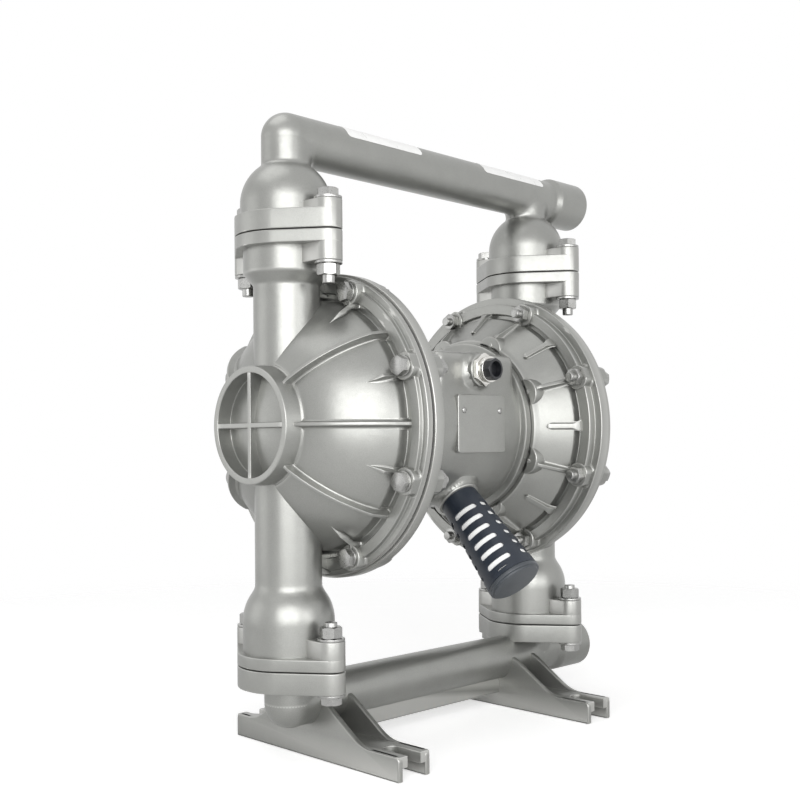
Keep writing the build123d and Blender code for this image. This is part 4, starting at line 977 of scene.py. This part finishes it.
def tube_shell(tube_z, legs_field, fade):
    """Tube from its round end to the port: blended skin, rounded mouth, helical thread and bore."""
    stations = spaced((-column_x, 2.5), (-130.0, 5.0), (130.0, 2.5), (port_cone_x - 4.0, 0.9),
                      (port_collar_x + 2.0, 4.0), (port_x - 2.2, 1.0))

    def tube(x, y, z):
        """The tube alone."""
        return tube_field(x, y, z, tube_z)

    def both(x, y, z):
        """The tube and its legs, with the fillet between them."""
        fillet = soft_min(tube_field(x, y, z, tube_z, elbow_gap), legs_field(x, y, z), fade(z))
        return np.minimum(tube(x, y, z), fillet)

    turn = even_turns(96)
    ring = np.stack([np.zeros(96), np.cos(turn), np.sin(turn)], -1)
    lean = np.linspace(0.0, math.pi / 2, 14)[:-1]
    way = np.concatenate([
        -np.cos(lean)[:, None, None] * np.array([1.0, 0.0, 0.0]) + np.sin(lean)[:, None, None] * ring,
        np.broadcast_to(ring, (len(stations), 96, 3)),
    ])
    start = np.zeros(way.shape)
    start[..., 0] = np.concatenate([np.full(len(lean), -column_x), stations])[:, None]
    start[..., 2] = tube_z
    reach = np.minimum(reach_out(both, start, way, 36.0, 22, 8.0),
                       reach_out(tube, start, way, 34.0, 20, 8.0) + 5.0)
    at = np.moveaxis(start + way * reach[..., None], -1, 0)
    reach = reach - dip(tube(*at), legs_field(*at))
    skin = start + way * reach[..., None]
    mouth = rounded([(port_x - 2.0, collar_out_r), (port_x, collar_out_r), (port_x, thread_r + 1.8),
                     (port_x - 1.6, thread_r + 0.2)], 1.4, 4)
    deep = np.arange(port_x - 2.0, port_x - thread_l + 1.0, -thread_pitch / 6)
    inner = np.array([(port_x - thread_l, thread_r - 0.4), (port_x - thread_l - 0.2, tube_bore_r),
                      (port_x - 120.0, tube_bore_r), (port_x - 120.0, 0.0)])
    along = np.concatenate([mouth[:, 0], deep, inner[:, 0]])
    radius = np.concatenate([mouth[:, 1], np.full(len(deep), thread_r), inner[:, 1]])[:, None] + 0 * turn
    phase = (deep[:, None] / thread_pitch + turn / (2 * math.pi)) % 1.0
    radius[len(mouth):len(mouth) + len(deep)] += 0.9 * np.abs(phase - 0.5)
    bore = along[:, None, None] * np.array([1.0, 0.0, 0.0]) + radius[..., None] * ring
    bore[..., 2] += tube_z
    return shell(np.concatenate([skin, bore]))


def leg_shells(heights, field, tube_z, far, fade, bury):
    """The two legs of a manifold about the columns' axes, with their fillets to its tube."""
    return [limb_shell((x, 0.0, 0.0), (0.0, 0.0, 1.0), heights, field,
                       lambda *at: tube_field(*at, tube_z, elbow_gap), leg_blend, far, 8.0,
                       fade=fade, bury=bury) for x in (-column_x, column_x)]


def dome_top_field(x, y, z):
    """Both ball cages of the outlet manifold with their necks."""
    rho = np.hypot(np.abs(x) - column_x, y)
    dome = np.hypot(rho, np.maximum(z - outlet_dome_z, 0.0)) - dome_r
    neck = np.hypot(rho, np.maximum(z - tube_top_z, 0.0)) - neck_top_r
    return soft_min(dome, neck, 2.5)


def neck_low_field(x, y, z):
    """Both necks of the inlet manifold, with the ball under the left one."""
    rho = np.hypot(np.abs(x) - column_x, y)
    return np.hypot(rho, np.minimum(z - tube_low_z, 0.0)) - neck_low_r


outlet_dome_z = cap_top_z + 32.5
outlet_face_z = outlet_low[2]


def outlet_shells():
    """All shells of the outlet manifold."""
    fade = leg_fade(tube_top_z, 1.0)
    shells = [tube_shell(tube_top_z, dome_top_field, fade)]
    heights = spaced((outlet_face_z, 6.0), (outlet_dome_z, 1.4), (tube_top_z - 30.0, 1.2), (tube_top_z, 1.0))
    shells += leg_shells(heights, dome_top_field, tube_top_z, dome_r + 1.0, fade, (0.0, 0.12))
    right = [flange_shell(outlet_face_z, outlet_face_z + 19.0)]
    for y in (-flange_bolt_y, flange_bolt_y):
        right.append(boss_shell(column_x, y, outlet_face_z + 2.0, outlet_face_z + flange_boss_h))
    return shells + right + mirrored(right, -1)


foot_x = 145.0
foot_w = 41.0
foot_wall = 6.0
foot_h = 23.0
gusset_y = 80.0
gusset_top_z = 60.4
slot_r = 8.5
slot_y = 102.5
foot_front_y = -inlet_low[1]
foot_back_y = inlet_high[1]


def foot_shells(x):
    """One channel foot: two gusseted walls and the slotted plate between them."""
    wall = closed_outline(
        [(-foot_front_y, 0.0), (foot_back_y, 0.0), (foot_back_y, foot_h), (gusset_y, foot_h),
         (24.0, gusset_top_z), (-24.0, gusset_top_z), (-gusset_y, foot_h), (-foot_front_y, foot_h)],
        [1.0, 1.0, 5.0, 14.0, 10.0, 10.0, 14.0, 5.0],
    )
    shells = []
    for wall_x in (x - foot_w / 2, x + foot_w / 2 - foot_wall):
        axes = ((wall_x, 0, 0), (0, 1, 0), (0, 0, 1), (1, 0, 0))
        shells.append(outline_shell(wall, 0.0, foot_wall, 1.4, axes))
    a = np.linspace(0.0, math.pi, 13)
    back_slot = np.stack([slot_r * np.cos(a), slot_y - slot_r * np.sin(a)], -1)
    half, front, back = foot_w / 2 - 0.6, 0.6 - foot_front_y, foot_back_y - 0.6
    far_end = [(-slot_r, back), (-half, back), (-half, front), (-slot_r, front)]
    plate = np.concatenate([[(half, front), (half, back), (slot_r, back)], back_slot, far_end, -back_slot,
                            [(slot_r, front)]])
    shells.append(outline_shell(plate, 12.0, foot_h, 1.0, ((x, 0, 0), (1, 0, 0), (0, 1, 0), (0, 0, 1))))
    return shells


inlet_face_z = inlet_high[2]
low_flange_t = 20.5


def inlet_shells():
    """All shells of the inlet manifold with its web and feet."""
    fade = leg_fade(tube_low_z, -1.0)
    shells = [tube_shell(tube_low_z, neck_low_field, fade)]
    heights = spaced((tube_low_z, 1.5), (tube_low_z + 28.0, 6.0), (inlet_face_z, 1.0))
    shells += leg_shells(heights, neck_low_field, tube_low_z, 40.0, fade, (0.12, 0.0))
    right = [flange_shell(inlet_face_z - low_flange_t, inlet_face_z)]
    right += foot_shells(foot_x)
    shells += right + mirrored(right, -1)
    web = closed_outline([(-140.0, 15.5), (140.0, 15.5), (140.0, 54.5), (-140.0, 54.5)], [2.0] * 4)
    shells.append(outline_shell(web, -4.0, 4.0, 1.5, upright_axes(0.0)))
    return shells


piece("outlet_casting", outlet_shells(), "cast_aluminium", "housing", "outlet_manifold")
piece("inlet_casting", inlet_shells(), "cast_aluminium", "housing", "inlet_manifold")


# Flange bolts, nuts and washers


def flange_hardware():
    """Heads, shanks, nuts and washers of the eight flange bolts, as groups of shells."""
    top_plate = outlet_face_z + flange_boss_h
    low_plate = inlet_face_z - low_flange_t
    top_under = cap_top_z - flange_boss_h - 1.0
    low_over = cap_low_z + flange_boss_h
    top_shank = top_plate + washer_t - corner("flange_bolts_top", 0)[2]
    low_shank = corner("flange_bolts_low", 1)[2] - low_plate + washer_t
    bolts, nuts, washers = {"top": [], "low": []}, [], []
    up, down = (0.0, 0.0, 1.0), (0.0, 0.0, -1.0)
    spots = [(x, y) for x in (-column_x, column_x) for y in (-flange_bolt_y, flange_bolt_y)]
    for i, (x, y) in enumerate(spots):
        turn = 0.4 * (i + 1)
        for level, z, way, shank, more in (("top", top_plate + washer_t, up, top_shank, 0.0),
                                           ("low", low_plate - washer_t, down, low_shank, 0.3)):
            bolts[level].append(hex_shell((x, y, z), way, flange_bolt_flats, 0.0, 7.5, turn=turn + more))
            bolts[level].append(shank_shell((x, y, z), way, shank, flange_bolt_r))
        for z, way, more in ((top_under - washer_t, down, 0.7), (low_over + washer_t, up, 0.2)):
            nuts.append(hex_shell((x, y, z), way, flange_bolt_flats, 0.0, 10.8,
                                  bore=flange_bolt_r, both=True, turn=turn + more))
        for base, way in ((top_plate, up), (top_under, down), (low_plate, down), (low_over, up)):
            washers.append(washer_shell((x, y, base), way, 13.2, flange_bolt_r + 0.3, washer_t))
    return bolts["top"], bolts["low"], nuts, washers


top_bolts, low_bolts, flange_nuts, flange_washers = flange_hardware()
piece("top_bolt_set", top_bolts, "stainless", "housing", "flange_bolts_top")
piece("low_bolt_set", low_bolts, "stainless", "housing", "flange_bolts_low")
piece("flange_nut_set", flange_nuts, "stainless", "housing", "flange_nuts")
piece("flange_washer_set", flange_washers, "stainless", "housing", "flange_washers")


# Centre body


body_end_x = hub_x - 1.0
barrel_r = 88.0
body_top = 78.0
body_back_y = 86.0
body_flange_r = 95.0
body_flange_w = 8.0
shoulder_y = 84.0
shoulder_half_w = 60.0
pad_y = 89.7
inlet_x = -3.0
inlet_z = shaft_z + 57.5
inlet_boss_y = 93.0
silencer_root = np.array([0.0, -50.9, 253.1])
silencer_lean = math.radians(46.6)
silencer_boss_r = 23.6
silencer_rim_s = 8.0
silencer_axis = np.array([0.0, -math.cos(silencer_lean), -math.sin(silencer_lean)])


def barrel_field(x, y, z):
    """Barrel with its flat top and back, a squarer front shoulder and two end flanges."""
    r = np.hypot(y, z - shaft_z)
    barrel = soft_max(soft_max(r - barrel_r, z - shaft_z - body_top, 5.0), y - body_back_y, 3.0)
    shoulder = soft_max(-y - shoulder_y, z - shaft_z - body_top + 2.0, 9.0)
    shoulder = soft_max(shoulder, np.abs(x) - shoulder_half_w, 8.0)
    shoulder = soft_max(shoulder, np.maximum(shaft_z + 5.0 - z, y - 40.0), 2.0)
    flange = soft_max(r - body_flange_r, body_end_x - body_flange_w - np.abs(x), 1.6)
    return soft_min(soft_min(barrel, shoulder, 8.0), flange, 2.5)


def silencer_boss_field(x, y, z):
    """Round boss along the silencer's axis, up to a rim round the silencer's root."""
    away = np.stack([x, y, z], -1) - silencer_root
    along = away @ silencer_axis
    rho = np.sqrt(np.clip(np.sum(away * away, -1) - along * along, 0.0, None))
    return soft_max(np.maximum(rho - silencer_boss_r, -60.0 - along), along - silencer_rim_s, 2.0)


def inlet_boss_field(x, y, z):
    """Round boss of the air inlet, up to its face."""
    side = np.maximum(np.hypot(x - inlet_x, z - inlet_z) - 17.0, y + 40.0)
    return soft_max(side, -y - inlet_boss_y, 1.6)


def body_shells():
    """Barrel skin from rays round the shaft, the two bosses with their fillets, and the nameplate pad."""
    stations = spaced((-body_end_x, 0.8), (-body_end_x + 12.0, 1.6), (-46.0, 3.0), (46.0, 1.6),
                      (body_end_x - 12.0, 0.8), (body_end_x, 1.0))
    boss_run = spaced((-45.0, 3.0), (silencer_rim_s - 3.0, 0.5), (silencer_rim_s - 0.05, 1.0))
    inlet_run = spaced((60.0, 1.6), (90.5, 0.4), (92.95, 1.0))

    def bosses(x, y, z):
        """Both bosses, for the fillets at their feet."""
        return soft_min(silencer_boss_field(x, y, z), inlet_boss_field(x, y, z), 3.0)

    pad = closed_outline([(-37.0, -30.0), (37.0, -30.0), (37.0, 30.0), (-37.0, 30.0)], [4.0] * 4)
    return [
        limb_shell((0.0, 0.0, shaft_z), (1.0, 0.0, 0.0), stations, barrel_field, bosses, 8.0,
                   112.0, 40.0, 288),
        limb_shell(silencer_root, silencer_axis, boss_run, silencer_boss_field, barrel_field, 8.0,
                   31.0, 10.0, 96),
        limb_shell((inlet_x, 0.0, inlet_z), (0.0, -1.0, 0.0), inlet_run, inlet_boss_field, barrel_field, 8.0,
                   26.0, 8.0, 72),
        outline_shell(pad, 60.0, pad_y, 1.2, upright_axes(shaft_z + 2.0)),
    ]


piece("centre_casting", body_shells(), "cast_aluminium", "housing", "centre_body")


# Silencer


silencer_len = 119.8
silencer_root_r = 20.2
silencer_end_r = 28.8
silencer_wall = 1.5
silencer_cap_s = silencer_len - 6.0
silencer_floor_s = 4.0
slot_half_w = 15.0
slot_half_h = 2.9
slot_first_s = 32.0
slot_step_s = 13.6
slot_turn = math.radians(151.0)
slit_s = 108.5
slit_half_w = 5.4
silencer_u = np.array([1.0, 0.0, 0.0])
silencer_v = np.cross(silencer_axis, silencer_u)


def silencer_radius(along):
    """Outer radius of the silencer over the distance from its root."""
    return silencer_root_r + (silencer_end_r - silencer_root_r) * np.clip(along / silencer_cap_s, 0.0, 1.0)


def slotted_shell():
    """Tapered shell with four columns of slots that have round ends.

    The grid's rows are angles round the axis at distances from the root. At each
    slot two rows part by +-h(w), where h is the slot's half height and falls to 0
    as a circle at its ends: h = sqrt(c2 - (|w| - a)2). The band between the two is
    left open and its edges are joined to the inner skin.
    """
    bend = np.radians([0.0, 30.0, 50.0, 70.0, 90.0])
    side = np.concatenate([[2.8, slit_half_w - 0.1, slit_half_w + 0.5, 9.0],
                           slot_half_w - slot_half_h + slot_half_h * np.sin(bend)])
    w = np.concatenate([-side[::-1], [0.0], side])
    span = np.clip(np.abs(w) - (slot_half_w - slot_half_h), 0.0, None)
    slot_h = np.sqrt(np.clip(slot_half_h ** 2 - span ** 2, 0.0, None))
    slot_h[[0, -1]] = 0.0
    slit_h = np.where(np.abs(w) < slit_half_w, 0.55, 0.0)
    share = np.linspace(0.0, 1.0, 7)[1:-1]
    rest = np.zeros(len(share))

    def row(along, half_h, inset=0.0):
        """Distances and angles of one row of the grid."""
        radius = float(silencer_radius(along))
        quarter = np.concatenate([w, w[-1] + share * (math.pi / 2 * radius - 2 * w[-1])]) / radius
        turns = [quarter + slot_turn + math.pi / 2 * i for i in range(4)]
        return along + np.tile(np.concatenate([half_h, rest]), 4), np.concatenate(turns), inset

    flat = 0.0 * w
    rows = [row(0.0, flat, 0.7), row(0.7, flat), row(8.0, flat), row(16.0, flat), row(24.0, flat)]
    open_after = []
    for middle, half in [(slot_first_s + slot_step_s * i, slot_h) for i in range(6)] + [(slit_s, slit_h)]:
        open_after.append(len(rows))
        rows += [row(middle, -half), row(middle, half)]
        if middle < slit_s - slot_step_s:
            rows.append(row(middle + slot_step_s / 2, flat))
    rows.append(row(silencer_cap_s, flat))
    along = np.stack([r[0] for r in rows])
    turn = np.stack([r[1] for r in rows])
    inset = np.array([r[2] for r in rows])[:, None]
    ring = np.cos(turn)[..., None] * silencer_u + np.sin(turn)[..., None] * silencer_v

    def skin(distance, radius):
        """The grid's points with the root and end discs' middle row in front."""
        points = silencer_root + distance[..., None] * silencer_axis + radius[..., None] * ring
        middle = silencer_root + distance[:1, :, None] * silencer_axis + 0 * points[:1]
        return np.concatenate([middle, points])

    outer = skin(along, silencer_radius(along) - inset)
    deep = np.maximum(along, silencer_floor_s)
    inner = skin(deep, silencer_radius(deep) - silencer_wall)
    count, columns = outer.shape[:2]
    index = np.arange(count * columns).reshape(count, columns)
    inside = index + count * columns
    keep = np.ones(count - 1, bool)
    keep[np.array(open_after) + 1] = False

    def band(low, high):
        """Quads between two rows of corners."""
        return np.stack([low, np.roll(low, -1, -1), np.roll(high, -1, -1), high], -1).reshape(-1, 4)

    faces = [band(index[:-1][keep], index[1:][keep]), band(inside[:-1][keep], inside[1:][keep]),
             band(index[-1:], inside[-1:])]
    for start in np.array(open_after) + 1:
        high = along[start] - along[start - 1] > 0
        wide = high | np.roll(high, -1)
        faces.append(band(index[start], inside[start])[wide])
        faces.append(band(index[start + 1], inside[start + 1])[wide])
    return np.concatenate([outer, inner]).reshape(-1, 3), np.concatenate(faces)


def silencer_lathe(profile, count=96):
    """A profile of (along, radius) pairs turned about the silencer's axis."""
    return lathe(profile, silencer_root, silencer_axis, count)


neck = rounded([(-16.0, 0.0), (-16.0, 12.9), (0.6, 12.9), (0.6, 0.0)], 1.2, 3)
piece("silencer_body", [slotted_shell(), silencer_lathe(neck, 48)], "silencer_plastic", "housing",
      "silencer_shell", sharp=30.0)
core_end_r = silencer_end_r - silencer_wall - 0.5
core_end_s = silencer_cap_s - 0.1
core = rounded([(4.3, 0.0), (4.3, 18.2), (core_end_s, core_end_r), (core_end_s, 0.0)], 0.8, 3)
piece("silencer_filter", [silencer_lathe(core)], "silencer_core", "housing", "silencer_core")
cap_step_s = silencer_len - 2.0
cap_face_r = silencer_end_r - 3.0
cap = rounded([(silencer_cap_s, 0.0), (silencer_cap_s, silencer_end_r), (cap_step_s, silencer_end_r - 0.2),
               (cap_step_s, cap_face_r), (silencer_len, cap_face_r), (silencer_len, 0.0)], 0.9, 4)
piece("silencer_end", [silencer_lathe(cap)], "cap_plastic", "housing", "silencer_cap")


# Air inlet fitting and its release collar


fitting_spot = (inlet_x, -inlet_boss_y, inlet_z)
forward = (0.0, -1.0, 0.0)
hose_r = 8.1
fitting_round = rounded([(5.0, hose_r + 1.5), (5.0, 12.6), (6.6, 12.6), (6.6, 13.6), (11.5, 13.6),
                         (11.5, 9.6), (9.5, hose_r), (5.2, hose_r)], 0.7, 3)
fitting_thread = [(-13.0, hose_r), (-13.0, 9.8), (0.2, 9.8), (0.2, hose_r)]
fitting = [
    hex_shell(fitting_spot, forward, 30.0, 0.0, 5.5, bore=hose_r, both=True, turn=math.radians(30.0)),
    ring_shell(fitting_round, fitting_spot, forward),
    ring_shell(fitting_thread, fitting_spot, forward, 48),
]
piece("inlet_fitting_body", fitting, "nickel_brass", "housing", "inlet_fitting")
collar_spot = (inlet_x, -inlet_boss_y - 11.5, inlet_z)
hose_stop = rounded([(-2.0, 0.0), (-2.0, hose_r - 0.05), (0.5, hose_r - 0.05), (0.5, 0.0)], 0.3, 2)
collar = [
    hex_shell(collar_spot, forward, 21.0, 0.0, 6.9, bore=hose_r, sides=8),
    lathe(hose_stop, collar_spot, forward, 48),
]
piece("inlet_collar_body", collar, "black_plastic", "housing", "inlet_collar")


# Bare labels on the upper tube and the nameplate's pins


label_centre = math.radians(108.0)
label_half = math.radians(48.0)


def label_shell(low_x, high_x, corner_r=4.0):
    """A label wrapped on the tube: sections over X between two angles, narrower at the rounded corners."""
    t = np.linspace(0.0, math.pi / 2, 7)
    shrink = corner_r * (1 - np.sin(t))
    x = np.concatenate([low_x + corner_r * (1 - np.cos(t)), high_x - corner_r * (1 - np.cos(t[::-1]))])
    half = label_half - np.concatenate([shrink, shrink[::-1]]) / tube_r
    share = np.linspace(-1.0, 1.0, 33)
    angle = label_centre + half[:, None] * np.concatenate([share, share[::-1]])
    radius = np.concatenate([np.full(33, tube_r + 0.35), np.full(33, tube_r + 0.08)])
    radius = np.repeat(radius[None], len(x) + 2, 0)
    radius[[0, -1]] = tube_r + 0.2
    angle = np.concatenate([angle[:1], angle, angle[-1:]])
    x = np.concatenate([x[:1], x, x[-1:]])[:, None]
    return shell(np.stack([x + 0 * angle, radius * np.cos(angle), tube_top_z + radius * np.sin(angle)], -1))


for name, ends in (("label_left", (-122.0, -16.0)), ("label_right", (86.0, 193.0))):
    piece(name.replace("label", "bare_label"), [label_shell(*ends)], "label_white", "housing", name)

pin_profile = np.array([(-5.4, 0.0), (-5.4, 1.5), (0.0, 1.5), (0.0, 3.2), (0.5, 3.1), (1.1, 2.5),
                        (1.5, 1.5), (1.6, 0.0)])
pins = [lathe(pin_profile, (x, -pad_y, shaft_z + 15.8), forward, 24) for x in (-28.0, 28.0)]
piece("plate_pin_set", pins, "stainless", "housing", "plate_pins")


# Diaphragms: the clamped rim stays with the housing, the middle goes with the shaft


shaft_spot = (0.0, 0.0, shaft_z)
rim_low, rim_high, rim_out = seam_low_x - 0.05, seam_high_x + 0.05, cap_rim_r - 0.8
rim_outline = [(rim_low, 122.5), (rim_low, rim_out), (rim_high, rim_out), (rim_high, 122.5)]
middle_outline = rounded(np.array([(0.2, 8.0), (0.2, 82.0), (7.0, 98.0), (4.0, 108.0), (7.0, 109.0),
                                   (11.0, 98.0), (4.0, 82.0), (4.0, 8.0)]) + (air_face_x, 0.0), 6.0, 4)
for side, label in ((-1, "left"), (1, "right")):
    out = (float(side), 0.0, 0.0)
    rim = ring_shell(rim_outline, shaft_spot, out, 192)
    piece("diaphragm_rim_" + label, [rim], "diaphragm_rubber", "housing")
    middle = ring_shell(middle_outline, shaft_spot, out, 96)
    piece("diaphragm_middle_" + label, [middle], "diaphragm_rubber", "reciprocating_assembly",
          "diaphragm_" + label)


# Floor, lights and background

floor_r = 1.6
floor_fade = 0.7
floor_lift = 0.4


def floor_disc():
    """A pale disc under the pump that fades out to the white background before its edge."""
    turns = even_turns(96)
    corners = np.stack([floor_r * np.cos(turns), floor_r * np.sin(turns), np.full(96, -0.0003)], 1)
    mesh = bpy.data.meshes.new("floor")
    mesh.from_pydata(corners.tolist(), [], [list(range(96))])
    floor = bpy.data.objects.new("floor", mesh)
    bpy.context.scene.collection.objects.link(floor)
    material, tree, shader, coords = new_material("pale_floor")
    tone = blend_colours(tree, noise(tree, coords, 3.0), (0.90, 0.90, 0.895), (0.93, 0.93, 0.93))
    tree.links.new(tone, shader.inputs["Base Color"])
    shader.inputs["Roughness"].default_value = 0.9
    shader.inputs["Specular IOR Level"].default_value = 0.1
    path = add_node(tree, "LightPath")
    shader.inputs["Emission Color"].default_value = (1.0, 1.0, 1.0, 1.0)
    lift = spread(tree, path.outputs["Is Camera Ray"], 0.0, 1.0, 0.0, floor_lift)
    tree.links.new(lift, shader.inputs["Emission Strength"])
    length = add_node(tree, "VectorMath", links={0: coords}, operation="LENGTH")
    fade = spread(tree, length.outputs["Value"], floor_fade, floor_r - 0.1, 0.0, 1.0)
    clear = add_node(tree, "BsdfTransparent")
    mixed = add_node(tree, "MixShader", links={0: fade, 1: shader.outputs["BSDF"], 2: clear.outputs["BSDF"]})
    output = [n for n in tree.nodes if n.type == "OUTPUT_MATERIAL"][0]
    tree.links.new(mixed.outputs["Shader"], output.inputs["Surface"])
    mesh.materials.append(material)


def studio_light(name, spot, target, size, power):
    """A soft square lamp at a spot that looks at a target."""
    data = bpy.data.lights.new(name, "AREA")
    data.shape = "RECTANGLE"
    data.size, data.size_y = size
    data.energy = power
    away = np.array(spot) - np.array(target)
    away = away / np.linalg.norm(away)
    side = np.cross((0.0, 0.0, 1.0), away)
    side = side / np.linalg.norm(side)
    stand(name, data, spot, side, np.cross(away, side), away)


world_level = 0.5


def white_world():
    """White where the camera or a reflection looks at it, and a plain soft light elsewhere."""
    world = bpy.data.worlds.new("studio")
    bpy.context.scene.world = world
    world.use_nodes = True
    tree = world.node_tree
    tree.nodes.clear()
    path = add_node(tree, "LightPath").outputs
    either = add_node(tree, "Math", links={0: path["Is Glossy Ray"], 1: path["Is Transmission Ray"]},
                      operation="MAXIMUM")
    seen = add_node(tree, "Math", links={0: path["Is Camera Ray"], 1: either.outputs["Value"]},
                    operation="MAXIMUM")
    strength = spread(tree, seen.outputs["Value"], 0.0, 1.0, world_level, 1.0)
    background = add_node(tree, "Background", {"Color": (1.0, 1.0, 1.0, 1.0)}, {"Strength": strength})
    add_node(tree, "OutputWorld", links={"Surface": background.outputs["Background"]})


photo_camera()
floor_disc()
white_world()
studio_light("key", (-1.12, -1.16, 0.66), (-0.1, 0.0, 0.32), (1.5, 1.1), 20.0)
studio_light("left", (-1.25, 1.0, 0.5), (0.0, 0.0, 0.32), (1.0, 1.0), 2.0)
studio_light("front", (0.0, -1.6, 0.5), (0.0, 0.0, 0.32), (0.8, 0.8), 5.0)
studio_light("top", (-0.6, 0.3, 1.9), (0.0, 0.0, 0.32), (1.2, 1.2), 5.0)
bpy.context.scene.view_settings.view_transform = "Standard"
